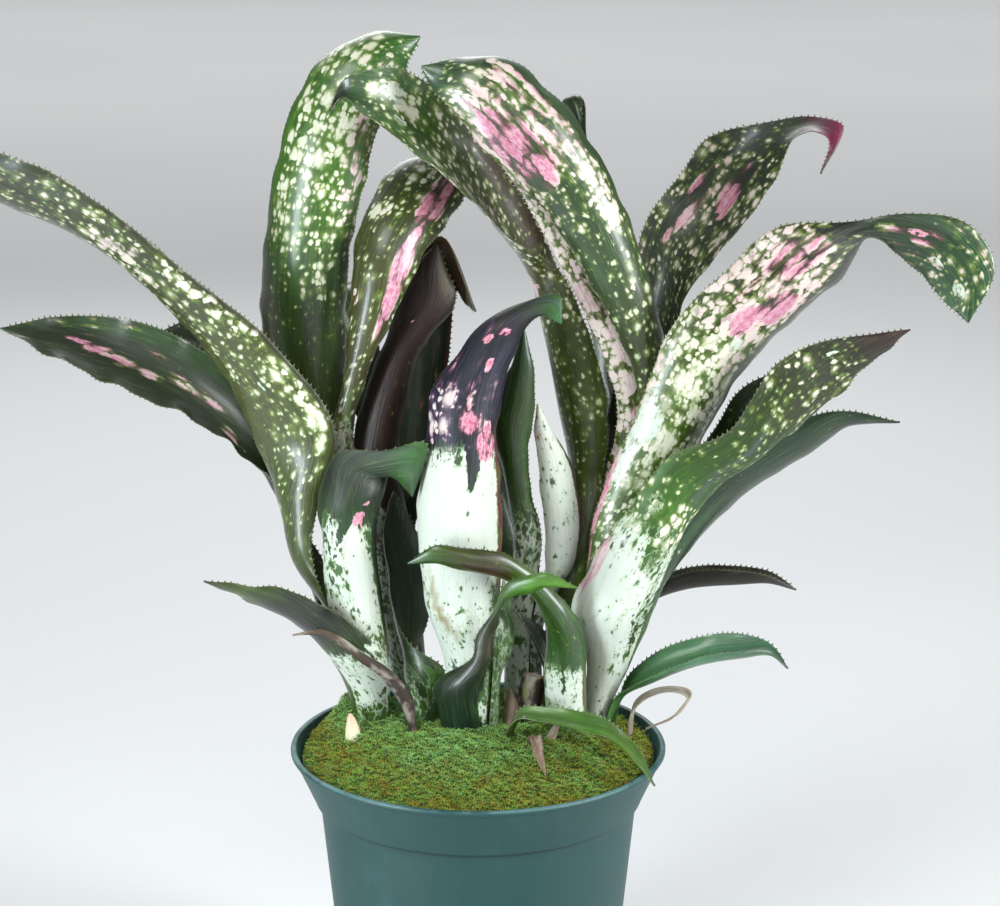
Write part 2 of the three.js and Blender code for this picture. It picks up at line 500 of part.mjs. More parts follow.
// The inside radius of the pot at a height.
function insideRadius(z) {
  const shoulder = POT_HEIGHT - COLLAR_HEIGHT;
  const wallTop = COLLAR_FOOT_RADIUS - COLLAR_STEP;
  if (z < shoulder) return BOTTOM_RADIUS + ((wallTop - BOTTOM_RADIUS) * z) / shoulder - POT_WALL;
  const s = (z - shoulder) / COLLAR_HEIGHT;
  return wallTop + (RIM_RADIUS - LIP_WIDTH - wallTop + POT_WALL) * s - POT_WALL;
}

// The pot: a tapered wall, a flared collar that steps out from it, a rounded lip, drain holes.
function potGeometry() {
  const shoulder = POT_HEIGHT - COLLAR_HEIGHT;
  const wallTop = COLLAR_FOOT_RADIUS - COLLAR_STEP;
  const collarTop = RIM_RADIUS - 1;
  const lipFoot = POT_HEIGHT - LIP_HEIGHT;
  const floor = 2.4;
  const outline = [
    [0, 0], [BOTTOM_RADIUS - 1.5, 0], [BOTTOM_RADIUS, 1.5], [wallTop, shoulder],
    [COLLAR_FOOT_RADIUS, shoulder + 0.6], [COLLAR_FOOT_RADIUS + 0.4, shoulder + 2],
    [collarTop - 0.6, lipFoot - 1.2], [RIM_RADIUS, lipFoot + 0.4], [RIM_RADIUS, POT_HEIGHT - 0.7],
    [RIM_RADIUS - 0.8, POT_HEIGHT], [RIM_RADIUS - LIP_WIDTH + 0.4, POT_HEIGHT],
    [insideRadius(POT_HEIGHT - 1), POT_HEIGHT - 1], [insideRadius(shoulder + 1), shoulder + 1],
    [insideRadius(shoulder - 1), shoulder - 1], [insideRadius(floor), floor], [0, floor],
  ];
  let pot = toSolid(turned(outline, POT_SIDES));
  for (let i = 0; i < DRAIN_HOLES; i += 1) {
    const angle = ((i + 0.5) * 2 * Math.PI) / DRAIN_HOLES;
    const x = DRAIN_CIRCLE * Math.cos(angle);
    const y = DRAIN_CIRCLE * Math.sin(angle);
    pot = pot.subtract(uprightCylinder(x, y, DRAIN_RADIUS, -1, floor + 1));
  }
  return toGeometry(pot);
}

// The widest radius that a shoot's sheaths reach below a height, with room around it.
function holeRadius(name, profile, top) {
  const layers = LEAVES.filter((leaf) => leaf.shoot === name).map((leaf) => leaf.layer);
  const outermost = Math.min(...layers);
  const { radius } = shootAt(profile, top);
  return radius - outermost * (SHEATH_PITCH + SHEATH_PITCH_GROWTH * radius) + HOLE_CLEARANCE;
}

// The soil fills the pot, with a plain flat-bottomed socket for each shoot.
function soilGeometry() {
  const shoulder = POT_HEIGHT - COLLAR_HEIGHT;
  const floor = 2.4 + FIT_GAP;
  const outline = [[0, floor]];
  for (const z of [floor, shoulder - 1, shoulder + 1, SOIL_TOP]) outline.push([insideRadius(z) - FIT_GAP, z]);
  outline.push([0, SOIL_TOP]);
  let soil = toSolid(turned(outline, 36));
  for (const [name, profile] of Object.entries(SHOOTS)) {
    const [x, y] = profile[0];
    const radius = holeRadius(name, profile, SOIL_TOP + 2);
    soil = soil.subtract(uprightCylinder(x, y, radius, SOIL_TOP - SOCKET_DEPTH, SOIL_TOP + 5));
  }
  return toGeometry(soil);
}

// The height of the moss: a low dome with soft lumps.
function mossHeight(x, y) {
  const r = Math.hypot(x, y) / MOSS_RADIUS;
  const lumps = Math.sin(x * 0.31 + 1.1) * Math.cos(y * 0.27) + 0.6 * Math.sin(x * 0.13 - y * 0.52)
    + 0.5 * Math.cos(x * 0.57 + y * 0.41);
  return MOSS_EDGE + MOSS_DOME * (1 - r * r) + MOSS_BUMP * lumps * (1 - 0.5 * r * r);
}

// The moss: a lumpy mound over the soil, cut away round each shoot and each dry bract.
function mossGeometry() {
  const positions = [];
  const triangles = [];
  const addVertex = (x, y, z) => positions.push(x, y, z) / 3 - 1;
  const bottomZ = SOIL_TOP + FIT_GAP;
  const rings = [];
  for (let i = 1; i <= MOSS_RINGS; i += 1) {
    const radius = MOSS_RADIUS * Math.sqrt(i / MOSS_RINGS);
    rings.push(Array.from({ length: MOSS_SECTORS }, (_, j) => {
      const angle = ((j + (i % 2) * 0.5) * 2 * Math.PI) / MOSS_SECTORS;
      const x = radius * Math.cos(angle);
      const y = radius * Math.sin(angle);
      return addVertex(x, y, mossHeight(x, y));
    }));
  }
  const top = addVertex(0, 0, mossHeight(0, 0));
  const bottom = addVertex(0, 0, bottomZ);
  const rim = rings[MOSS_RINGS - 1];
  const foot = rim.map((_, j) => {
    const angle = ((j + (MOSS_RINGS % 2) * 0.5) * 2 * Math.PI) / MOSS_SECTORS;
    return addVertex(MOSS_FOOT_RADIUS * Math.cos(angle), MOSS_FOOT_RADIUS * Math.sin(angle), bottomZ);
  });
  for (let j = 0; j < MOSS_SECTORS; j += 1) {
    const next = (j + 1) % MOSS_SECTORS;
    triangles.push(top, rings[0][j], rings[0][next]);
    for (let i = 0; i + 1 < MOSS_RINGS; i += 1) {
      const [low, high] = [rings[i], rings[i + 1]];
      if (i % 2 === 0) triangles.push(low[j], high[j], high[next], low[j], high[next], low[next]);
      else triangles.push(low[j], high[j], low[next], high[j], high[next], low[next]);
    }
    triangles.push(rim[j], foot[j], foot[next], rim[j], foot[next], rim[next]);
    triangles.push(bottom, foot[next], foot[j]);
  }
  const geometry = new THREE.BufferGeometry();
  geometry.setAttribute('position', new THREE.Float32BufferAttribute(positions, 3));
  geometry.setIndex(triangles);
  let moss = toSolid(geometry);
  for (const [name, profile] of [...Object.entries(SHOOTS), ...Object.entries(LITTER)]) {
    const { x, y } = shootAt(profile, (SOIL_TOP + 148) / 2);
    moss = moss.subtract(uprightCylinder(x, y, holeRadius(name, profile, 149), SOIL_TOP - 5, POT_HEIGHT + 20));
  }
  const budHole = uprightCylinder(BUD.x, BUD.y, BUD.radius + HOLE_CLEARANCE, SOIL_TOP - 5, POT_HEIGHT + 20);
  return toGeometry(moss.subtract(budHole));
}

// A pale young bud that has just broken through the moss.
const BUD = { x: -53, y: -3, radius: 3, length: 26, lean: -16 };
function budGeometry() {
  const { radius, length } = BUD;
  const geometry = turned([[0, 0], [radius * 0.9, 0], [radius, length * 0.4], [radius * 0.75, length * 0.75],
    [radius * 0.3, length * 0.95], [0, length]], 10);
  return toGeometry(toSolid(geometry));
}

function material(color, roughness) {
  return new THREE.MeshStandardMaterial({ color, roughness, metalness: 0 });
}

function named(name, geometry, finish) {
  const mesh = new THREE.Mesh(geometry, finish);
  mesh.name = name;
  return mesh;
}

const plant = new THREE.Group();
plant.add(named('pot', potGeometry(), material(0x2f6f6b, 0.45)));
plant.add(named('soil', soilGeometry(), material(0x2b221b, 0.95)));
plant.add(named('moss', mossGeometry(), material(0x7c8f2c, 0.95)));

const bud = named('pale_bud', budGeometry(), material(0xe4ddc0, 0.5));
bud.position.set(BUD.x, BUD.y, LITTER_FOOT);
plant.add(bud);

for (const leaf of LEAVES) {
  plant.add(named(leaf.name, leafGeometry(leaf), material(leaf.color, leaf.dry ? 0.8 : 0.35)));
}

export default plant;
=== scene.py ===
# %% [markdown]
# # A potted clump of a spotted tank bromeliad
#
# The plant is eight shoots of strap leaves in a flared plastic pot, with moss over the soil. The
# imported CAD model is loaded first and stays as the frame: it gives every place and size, in
# metres, and each finer piece below takes the place of one of its nodes.

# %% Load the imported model
import json
import math
import random

import bpy
import numpy as np
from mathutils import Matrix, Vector
from mathutils.kdtree import KDTree

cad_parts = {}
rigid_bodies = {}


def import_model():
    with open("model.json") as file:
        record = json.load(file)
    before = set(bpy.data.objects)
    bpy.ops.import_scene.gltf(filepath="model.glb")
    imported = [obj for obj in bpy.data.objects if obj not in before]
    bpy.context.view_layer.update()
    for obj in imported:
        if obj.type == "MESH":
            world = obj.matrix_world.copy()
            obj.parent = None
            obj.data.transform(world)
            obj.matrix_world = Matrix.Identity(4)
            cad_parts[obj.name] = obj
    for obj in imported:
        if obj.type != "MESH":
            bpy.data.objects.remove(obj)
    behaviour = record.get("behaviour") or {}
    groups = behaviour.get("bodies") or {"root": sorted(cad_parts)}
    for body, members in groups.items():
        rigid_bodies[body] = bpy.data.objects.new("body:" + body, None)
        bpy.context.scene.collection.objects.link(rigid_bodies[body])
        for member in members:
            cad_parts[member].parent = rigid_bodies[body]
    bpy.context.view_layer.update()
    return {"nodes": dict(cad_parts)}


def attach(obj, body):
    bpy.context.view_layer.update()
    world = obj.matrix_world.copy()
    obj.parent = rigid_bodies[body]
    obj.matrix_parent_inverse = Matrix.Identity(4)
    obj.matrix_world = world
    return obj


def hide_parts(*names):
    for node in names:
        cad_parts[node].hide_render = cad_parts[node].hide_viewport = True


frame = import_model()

MM = 0.001

# %% [markdown]
# ## Camera
#
# The photograph looks down on the pot by about fourteen degrees, from a little over a metre away,
# through a lens of about 97 mm on a 36 mm wide sensor. The place and lens were found from the
# ellipse of the pot's rim: its width gives the distance, and its flatness gives the tilt.

# %% Camera
CAMERA_PLACE = (0.0096, -1.12474, 0.56029)
CAMERA_TILT = 14.3
CAMERA_LENS = 97.4
SENSOR_WIDTH = 36

camera_data = bpy.data.cameras.new("camera")
camera_data.lens = CAMERA_LENS
camera_data.sensor_width = SENSOR_WIDTH
camera_data.clip_end = 20
camera = bpy.data.objects.new("camera", camera_data)
camera.location = CAMERA_PLACE
camera.rotation_euler = (math.radians(90 - CAMERA_TILT), 0, 0)
bpy.context.scene.collection.objects.link(camera)
bpy.context.scene.camera = camera
bpy.context.scene.view_settings.view_transform = "Standard"
print("camera lens", camera_data.lens)

# %% [markdown]
# ## Floor and light
#
# A pale floor that is large enough to fill the view keeps the plant easy to judge. In the
# photograph long bluish streaks of gloss lie on the tall leaves, so two upright strip lights stand
# where those streaks reflect them: one low on the left, one on the right. Wide weak boxes above,
# in front and behind open the shadows from every side, and one more lights the floor far back.
# A spread below 180 degrees keeps the flat back of a box from drawing a hard line on the floor.

# %% Helper: start from nothing selected
def deselect():
    if bpy.context.object is not None and bpy.context.object.mode != "OBJECT":
        bpy.ops.object.mode_set(mode="OBJECT")
    bpy.ops.object.select_all(action="DESELECT")


deselect()
print("pieces still selected:", len(bpy.context.selected_objects))

# %% Floor and light
LIGHT_SPREAD = 140


def soft_box(name, place, aim, size, watts, tint):
    light = bpy.data.lights.new(name, "AREA")
    light.shape = "RECTANGLE"
    light.size, light.size_y = size
    light.energy = watts
    light.spread = math.radians(LIGHT_SPREAD)
    light.color = tint
    lamp = bpy.data.objects.new(name, light)
    lamp.location = place
    lamp.rotation_euler = (Vector(aim) - Vector(place)).to_track_quat("-Z", "Y").to_euler()
    lamp.visible_camera = False
    bpy.context.scene.collection.objects.link(lamp)


deselect()
bpy.ops.mesh.primitive_plane_add(size=24, location=(0, 3.0, 0))
floor = bpy.context.object
floor.name = "floor"

MIDDLE = (0, 0, 0.27)
soft_box("right_strip", (1.25, -0.52, 0.62), MIDDLE, (0.4, 0.9), 15.5, (0.93, 0.97, 1.0))
soft_box("left_strip", (-0.49, -0.44, 0.27), MIDDLE, (0.15, 0.5), 3.2, (0.84, 0.93, 1.0))
soft_box("top", (-0.45, -0.8, 1.45), MIDDLE, (0.6, 0.6), 5.6, (1.0, 1.0, 0.98))
soft_box("front", (0.5, -1.3, 0.9), MIDDLE, (0.9, 0.9), 2.2, (1.0, 1.0, 1.0))
soft_box("rear", (-0.3, 1.6, 1.3), MIDDLE, (1.6, 0.9), 10, (0.97, 0.99, 1.0))
soft_box("backdrop", (0, 4.4, 3.4), (0, 4.6, 0), (8.0, 5.0), 130, (1.0, 1.0, 1.0))

world = bpy.data.worlds.new("studio")
bpy.context.scene.world = world
world.use_nodes = True
background = world.node_tree.nodes["Background"]
background.inputs["Color"].default_value = (0.72, 0.75, 0.78, 1)
background.inputs["Strength"].default_value = 0.2

# %% [markdown]
# ## Writing finishes as sums
#
# A procedural finish is a sum of patterns. Blender holds it as a net of nodes, which is long to
# write by hand. `Signal` wraps one output of a node, so that `a * b + 1` adds the Math nodes, and
# `Finish.node` adds any other node: first its settings, then the values or links of its sockets.

# %% Signal and Finish
def linear(red, green, blue):
    """A colour given as it looks on a screen, 0 to 255, as the linear colour that shaders use."""
    shares = [c / 255 for c in (red, green, blue)]
    return [s / 12.92 if s <= 0.04045 else ((s + 0.055) / 1.055) ** 2.4 for s in shares]


class Signal:
    def __init__(self, finish, socket):
        self.finish = finish
        self.socket = socket

    def another(self, output):
        """Another output of the same node."""
        return Signal(self.finish, self.socket.node.outputs[output])

    def __add__(self, other):
        return self.finish.maths("ADD", self, other)

    def __sub__(self, other):
        return self.finish.maths("SUBTRACT", self, other)

    def __rsub__(self, other):
        return self.finish.maths("SUBTRACT", other, self)

    def __mul__(self, other):
        return self.finish.maths("MULTIPLY", self, other)

    __radd__ = __add__
    __rmul__ = __mul__


class Finish:
    def __init__(self, name):
        self.material = bpy.data.materials.new(name)
        self.material.use_nodes = True
        self.tree = self.material.node_tree
        self.surface = self.tree.nodes["Principled BSDF"]

    def node(self, kind, settings=None, values=None, output=0):
        made = self.tree.nodes.new(kind)
        for name, value in (settings or {}).items():
            if name == "stops":
                self.set_stops(made.color_ramp, value)
            else:
                setattr(made, name, value)
        for socket, value in (values or {}).items():
            self.plug(made.inputs[socket], value)
        return Signal(self, made.outputs[output])

    def set_stops(self, ramp, stops):
        while len(ramp.elements) < len(stops):
            ramp.elements.new(1)
        for element, (place, colour) in zip(ramp.elements, stops):
            element.position = place
            element.color = (*colour, 1)

    def plug(self, socket, value):
        if isinstance(value, Signal):
            self.tree.links.new(value.socket, socket)
        elif socket.type == "RGBA" and len(value) == 3:
            socket.default_value = (*value, 1)
        else:
            socket.default_value = value

    def set(self, **values):
        """Sets or links the surface shader's own sockets."""
        for name, value in values.items():
            self.plug(self.surface.inputs[name.replace("_", " ")], value)

    def maths(self, operation, *values):
        return self.node("ShaderNodeMath", {"operation": operation}, dict(enumerate(values)))

    def step(self, value, low, high):
        """0 below low, 1 above high, and a smooth rise between."""
        return self.node("ShaderNodeMapRange", {"interpolation_type": "SMOOTHSTEP"},
                         {"Value": value, "From Min": low, "From Max": high})

    def mix(self, amount, first, second, way="MIX"):
        return self.node("ShaderNodeMix", {"data_type": "RGBA", "blend_type": way},
                         {0: amount, 6: first, 7: second}, 2)

    def stretch(self, place, scale):
        return self.node("ShaderNodeMapping", None, {"Vector": place, "Scale": scale})

    def noise(self, place, scale, detail=2.0, roughness=0.5):
        return self.node("ShaderNodeTexNoise", None,
                         {"Vector": place, "Scale": scale, "Detail": detail, "Roughness": roughness})

    def bump(self, height, distance):
        return self.node("ShaderNodeBump", None,
                         {"Height": height, "Distance": distance, "Strength": 1.0})

    def parts(self, colour):
        """The red, green and blue of a colour, as three numbers."""
        red = self.node("ShaderNodeSeparateColor", None, {"Color": colour})
        return red, red.another("Green"), red.another("Blue")

    def object_place(self):
        return self.node("ShaderNodeTexCoord", output="Object")

    def height(self, place):
        return self.node("ShaderNodeSeparateXYZ", None, {"Vector": place}, output="Z")

    def attribute(self, name):
        return self.node("ShaderNodeAttribute", {"attribute_name": name})


print("finish helpers ready")

# %% [markdown]
# ## Floor finish
#
# A painted table top: almost one colour, with a faint slow variation so that it isn't dead flat.

# %% Floor finish
def floor_paint():
    finish = Finish("floor_paint")
    drift = finish.noise(finish.object_place(), 1.2, 2)
    finish.set(Base_Color=finish.mix(drift, linear(214, 216, 217), linear(226, 227, 227)), Roughness=0.75)
    return finish.material


floor.data.materials.append(floor_paint())
print("floor painted")

# %% [markdown]
# ## Pot
#
# A moulded nursery pot is thin, with a tapered wall, a step out to a flared collar and a rounded
# lip. It is one turned shape, so its outline is drawn once as a chain of points and spun about
# the pot's axis. The drain holes are cut with one boolean afterwards.

# %% Pot outline
POT_OUTLINE = [
    (0, 0.0), (30, 0.0), (55.6, 0.0), (57.0, 0.25), (58, 1.4), (58.5, 5),
    (64, 60), (69.4, 113), (69.75, 117.2), (70.2, 117.9), (71.5, 118.1), (72.1, 118.6), (72.4, 119.6),
    (76.6, 129), (80.7, 138.0), (81.1, 138.9), (82.0, 139.5), (82.45, 140.2), (82.5, 141.0),
    (82.2, 141.7), (81.5, 142.0), (80.8, 142.0), (80.2, 141.7), (79.8, 141.0),
    (75, 130), (70.2, 119.4), (69.0, 118.4), (68.2, 116.8), (62.4, 60), (56.9, 5), (56.3, 3.2), (55, 2.4),
    (30, 2.4), (0, 2.4),
]
SPIN_STEPS = 160
MERGED_WITHIN = 0.02


def new_chain(name, points):
    """An open chain of edges, as drawn point by point with extrude."""
    mesh = bpy.data.meshes.new(name)
    mesh.from_pydata(points, [(i, i + 1) for i in range(len(points) - 1)], [])
    chain = bpy.data.objects.new(name, mesh)
    bpy.context.scene.collection.objects.link(chain)
    return chain


def pick(piece):
    """Selects one piece alone and makes it the active one."""
    deselect()
    piece.select_set(True)
    bpy.context.view_layer.objects.active = piece


def edit(piece):
    """Picks one piece, goes into edit mode and selects all of it."""
    pick(piece)
    bpy.ops.object.mode_set(mode="EDIT")
    bpy.ops.mesh.select_all(action="SELECT")


def spin_round(piece, steps):
    edit(piece)
    bpy.ops.mesh.spin(steps=steps, angle=2 * math.pi, center=(0, 0, 0), axis=(0, 0, 1))
    bpy.ops.mesh.select_all(action="SELECT")
    bpy.ops.mesh.remove_doubles(threshold=MERGED_WITHIN * MM)
    bpy.ops.mesh.normals_make_consistent(inside=False)
    bpy.ops.object.mode_set(mode="OBJECT")


pot = new_chain("moulded_pot", [(r * MM, 0, z * MM) for r, z in POT_OUTLINE])
spin_round(pot, SPIN_STEPS)
print("pot faces:", len(pot.data.polygons))

# %% Drain holes
DRAIN_ANGLES = [30 + 60 * k for k in range(6)]
DRAIN_CIRCLE, DRAIN_RADIUS, DRAIN_SIDES = 44, 5, 28
DRILL_MIDDLE, DRILL_LENGTH = 1.2, 6


def joined(kind):
    """All the primitives whose names start like the kind, joined into one object."""
    copies = [o for o in bpy.context.scene.objects if o.name.startswith(kind)]
    for copy in copies:
        copy.select_set(True)
    bpy.context.view_layer.objects.active = copies[0]
    bpy.ops.object.join()
    return bpy.context.object


def apply_modifier(piece, kind, **settings):
    pick(piece)
    modifier = piece.modifiers.new(kind.lower(), kind)
    for name, value in settings.items():
        setattr(modifier, name, value)
    bpy.ops.object.modifier_apply(modifier=modifier.name)


def drill_drain_holes(piece):
    deselect()
    for angle in DRAIN_ANGLES:
        turn, circle = math.radians(angle), DRAIN_CIRCLE * MM
        place = (circle * math.cos(turn), circle * math.sin(turn), DRILL_MIDDLE * MM)
        bpy.ops.mesh.primitive_cylinder_add(vertices=DRAIN_SIDES, radius=DRAIN_RADIUS * MM,
                                            depth=DRILL_LENGTH * MM, location=place)
    drills = joined("Cylinder")
    apply_modifier(piece, "BOOLEAN", operation="DIFFERENCE", object=drills, solver="EXACT")
    bpy.data.objects.remove(drills)


def smooth(piece, degrees):
    pick(piece)
    bpy.ops.object.shade_smooth_by_angle(angle=math.radians(degrees))


drill_drain_holes(pot)
smooth(pot, 30)
print("pot faces with drain holes:", len(pot.data.polygons))

# %% [markdown]
# ## Pot finish
#
# Injection moulded polypropylene is evenly coloured and satin. What keeps it from looking like
# paint is a very fine grain, faint upright flow marks and dried water marks, so those drive the
# colour and the roughness. The top of the lip is painted paler in patches, and painted shade
# darkens the crease under the collar.

# %% Pot finish
def pot_plastic():
    finish = Finish("pot_plastic")
    place = finish.object_place()
    height = finish.height(place)
    grain = finish.noise(place, 1400, 2, 0.6)
    flow = finish.noise(finish.stretch(place, (60, 60, 3)), 1, 3, 0.6)
    dust = finish.noise(finish.stretch(place, (30, 30, 14)), 1, 5, 0.7)
    # the top of the lip is painted paler in patches
    pale_lip_top = finish.step(height, 140.6 * MM, 141.9 * MM) * finish.step(dust, 0.35, 0.6)
    # painted shade: a dark line in the crease under the collar
    crease_shade = finish.step(height, 115.8 * MM, 117.4 * MM) * (1 - finish.step(height, 118.0 * MM, 118.6 * MM))
    base = finish.mix(flow, linear(17, 57, 56), linear(25, 67, 65))
    base = finish.mix(finish.step(dust, 0.55, 0.85) * 0.35, base, linear(70, 106, 106))
    base = finish.mix(pale_lip_top * 0.6, base, linear(106, 144, 144))
    base = finish.mix(crease_shade * 0.75, base, linear(8, 28, 32))
    finish.set(Base_Color=base, Roughness=0.42 + 0.12 * dust,
               Normal=finish.bump(grain + 0.5 * flow, 0.00006), Specular_IOR_Level=0.45)
    return finish.material


def add_piece(piece, node, material):
    """The piece rides on the plant's one body, stands for a CAD node and wears its finish."""
    piece.data.materials.clear()
    piece.data.materials.append(material)
    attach(piece, "root")
    if node:
        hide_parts(node)
    return piece


add_piece(pot, "pot", pot_plastic())
print("pot finished")

# %% [markdown]
# ## Soil
#
# The potting mix is hidden by the moss but for a thin line at the rim and the drain holes below,
# so its CAD solid stays and only gets a finish: dark crumbs of bark and peat in two sizes.

# %% Soil finish
def potting_mix():
    finish = Finish("potting_mix")
    place = finish.object_place()
    crumbs = finish.node("ShaderNodeTexVoronoi", None, {"Vector": place, "Scale": 380})
    bits = finish.node("ShaderNodeTexVoronoi", {"feature": "F1"}, {"Vector": place, "Scale": 160}, "Color")
    tone = finish.parts(bits)[0]
    base = finish.mix(tone, linear(24, 18, 14), linear(66, 50, 36))
    base = finish.mix(finish.step(tone, 0.86, 0.95), base, linear(120, 104, 84))
    finish.set(Base_Color=base, Roughness=0.95, Normal=finish.bump(1 - crumbs, 0.0012))
    return finish.material


soil = frame["nodes"]["soil"]
soil.data.materials.clear()
soil.data.materials.append(potting_mix())
print("soil finished")

# %% [markdown]
# ## Moss mound
#
# Sheet moss on a pot is a low cushion of thousands of tiny leafy shoots. A square grid trimmed
# to the pot's mouth leaves a jagged edge, so the cushion's outline, with its side and underside,
# is spun like the pot's. Each point on top is then lifted to the mound's height and pressed into
# lumps around scattered shoot centres.

# %% Height of the moss
MOSS_RADIUS, MOUTH_RADIUS = 77.5, 77
MOSS_EDGE, MOSS_CROWN = 139, 9.5
CUSHIONS = ((-56, 24, 14, 420), (-12, -38, 3, 700))
CUSHION_FADE = 13


def moss_height(x, y):
    """The top of the moss: a low dome with lumps, two cushions and small hollows."""
    r = math.hypot(x, y) / MOUTH_RADIUS
    lumps = (math.sin(x * 0.31 + 1.1) * math.cos(y * 0.27) + 0.6 * math.sin(x * 0.13 - y * 0.52)
             + 0.5 * math.cos(x * 0.57 + y * 0.41))
    cushion = sum(high * math.exp(-((x - middle_x) ** 2 + (y - middle_y) ** 2) / spread)
                  for middle_x, middle_y, high, spread in CUSHIONS)
    cushion *= min(1, (MOSS_RADIUS - r * MOUTH_RADIUS) / CUSHION_FADE)
    hollows = 0.9 * math.sin(x * 0.72 + 2 * math.sin(y * 0.3)) * math.sin(y * 0.66 + x * 0.2)
    return MOSS_EDGE + MOSS_CROWN * (1 - r * r) + 0.9 * lumps * (1 - 0.5 * r * r) + cushion + hollows


print("moss height at the middle, mm:", round(moss_height(0, 0), 1))


# %% Places of the moss shoots
MOSS_SHOOTS, SHOOTS_APART, SHOOTS_INSET = 16000, 0.7, 0.9
PLACES_SEED, TURNS_SEED = 5, 11
TRIES_EACH = 12


def scattered_shoots(count, radius, apart, seed):
    """Random places on a disc that keep a little apart, as moss shoots do."""
    chance = random.Random(seed)
    cells, places = {}, []
    for _ in range(count * TRIES_EACH):
        if len(places) == count:
            break
        r, a = radius * math.sqrt(chance.random()), chance.uniform(0, 2 * math.pi)
        x, y = r * math.cos(a), r * math.sin(a)
        cell = (math.floor(x / apart), math.floor(y / apart))
        near = [p for i in (-1, 0, 1) for j in (-1, 0, 1) for p in cells.get((cell[0] + i, cell[1] + j), [])]
        if all(math.hypot(x - p[0], y - p[1]) > apart for p in near):
            cells.setdefault(cell, []).append((x, y))
            places.append((x, y))
    return places


moss_places = scattered_shoots(MOSS_SHOOTS, MOSS_RADIUS - SHOOTS_INSET, SHOOTS_APART, PLACES_SEED)
shoot_finder = KDTree(len(moss_places))
for index, (x, y) in enumerate(moss_places):
    shoot_finder.insert((x, y, 0), index)
shoot_finder.balance()
print("moss shoots:", len(moss_places))


# %% Spin and lift the mound
MOSS_UNDERSIDE, MOSS_FOOT_RADIUS = 130.4, 73
MOUND_RINGS, MOUND_STEPS = 80, 240
GAP_DEPTH, SHOOT_LIFT, SHOOT_REACH = 1.9, 0.9, 1.3


def moss_mound():
    top = [(r, MOSS_EDGE) for r in np.linspace(0, MOSS_RADIUS, MOUND_RINGS)]
    outline = [*top, (MOSS_FOOT_RADIUS, MOSS_UNDERSIDE), (0, MOSS_UNDERSIDE)]
    mound = new_chain("moss_mound", [(r * MM, 0, z * MM) for r, z in outline])
    spin_round(mound, MOUND_STEPS)
    for vertex in mound.data.vertices:
        x, y, z = (c / MM for c in vertex.co)
        if z > MOSS_UNDERSIDE + 1:
            gap = shoot_finder.find((x, y, 0))[2]
            lift = SHOOT_LIFT * max(0, 1 - (gap / SHOOT_REACH) ** 2)
            vertex.co.z = (moss_height(x, y) - GAP_DEPTH + lift) * MM
    return mound


mound = moss_mound()
smooth(mound, 60)
print("mound faces:", len(mound.data.polygons))

# %% [markdown]
# ## Moss shoots
#
# Each shoot is a little star of pointed leaves no bigger than two millimetres. A ball with drawn
# out points was tried first and looked like pellets, so one shoot is three slim cones of three
# sides that lean apart. It is copied over the mound with its own turn, lean, size and tone. The
# tone is kept as an attribute, so that one finish can give every shoot its own green.

# %% One moss shoot
LEAN_SIDE, LEAN_UP = 0.72, 0.69
CONE_WAYS = (0, 2.1, 4.2)
CONE_RADIUS, CONE_LENGTH, CONE_MIDDLE = 0.42, 1.9, 0.8


def moss_star():
    """The corners and the faces of one moss shoot, in millimetres."""
    deselect()
    for way in CONE_WAYS:
        point = Vector((LEAN_SIDE * math.sin(way), -LEAN_SIDE * math.cos(way), LEAN_UP))
        bpy.ops.mesh.primitive_cone_add(vertices=3, radius1=CONE_RADIUS, depth=CONE_LENGTH,
                                        location=CONE_MIDDLE * point,
                                        rotation=(math.atan2(LEAN_SIDE, LEAN_UP), 0, way))
    star = joined("Cone")
    bpy.ops.object.transform_apply()
    corners = np.array([v.co for v in star.data.vertices])
    faces = [list(p.vertices) for p in star.data.polygons]
    bpy.data.objects.remove(star)
    return corners, faces


def turned_by(angle, lean, way):
    """A turn about the upright, then a lean towards a compass direction."""
    cos, sin = math.cos(angle), math.sin(angle)
    turn = np.array([[cos, -sin, 0], [sin, cos, 0], [0, 0, 1]])
    axis = np.array([-math.sin(way), math.cos(way), 0])
    cross = np.array([[0, -axis[2], axis[1]], [axis[2], 0, -axis[0]], [-axis[1], axis[0], 0]])
    tilt = np.eye(3) + math.sin(lean) * cross + (1 - math.cos(lean)) * cross @ cross
    return tilt @ turn


# %% Copy the shoot over the mound
ANY_WAY, SHOOT_LEANS = (0, 6.3), (0, 0.6)
SHOOT_SIZES, SHOOT_STRETCHES, SHOOT_LIFTS = (0.55, 1.0), (0.8, 1.3), (-0.9, 0.1)
SHOOT_HEIGHT = 1.2


def moss_carpet(places, seed):
    chance = random.Random(seed)
    corners, faces = moss_star()
    points, polygons, tones = [], [], []
    for x, y in places:
        size = chance.uniform(*SHOOT_SIZES)
        turn = turned_by(chance.uniform(*ANY_WAY), chance.uniform(*SHOOT_LEANS), chance.uniform(*ANY_WAY))
        stretch = (1, 1, chance.uniform(*SHOOT_STRETCHES))
        foot = (x, y, moss_height(x, y) + chance.uniform(*SHOOT_LIFTS))
        first = len(points) * len(corners)
        polygons += [[first + i for i in face] for face in faces]
        points.append((corners * size @ turn.T) * stretch + foot)
        tone = chance.random()
        tones += [(tone, z / SHOOT_HEIGHT, 0, 1) for z in corners[:, 2]]
    mesh = bpy.data.meshes.new("moss_shoots")
    mesh.from_pydata((np.concatenate(points) * MM).tolist(), [], polygons)
    tone = mesh.color_attributes.new("tone", "FLOAT_COLOR", "POINT")
    tone.data.foreach_set("color", np.array(tones, float).ravel())
    carpet = bpy.data.objects.new("moss_shoots", mesh)
    bpy.context.scene.collection.objects.link(carpet)
    return carpet


carpet = moss_carpet(moss_places, TURNS_SEED)
smooth(carpet, 70)
print("moss shoot faces:", len(carpet.data.polygons))
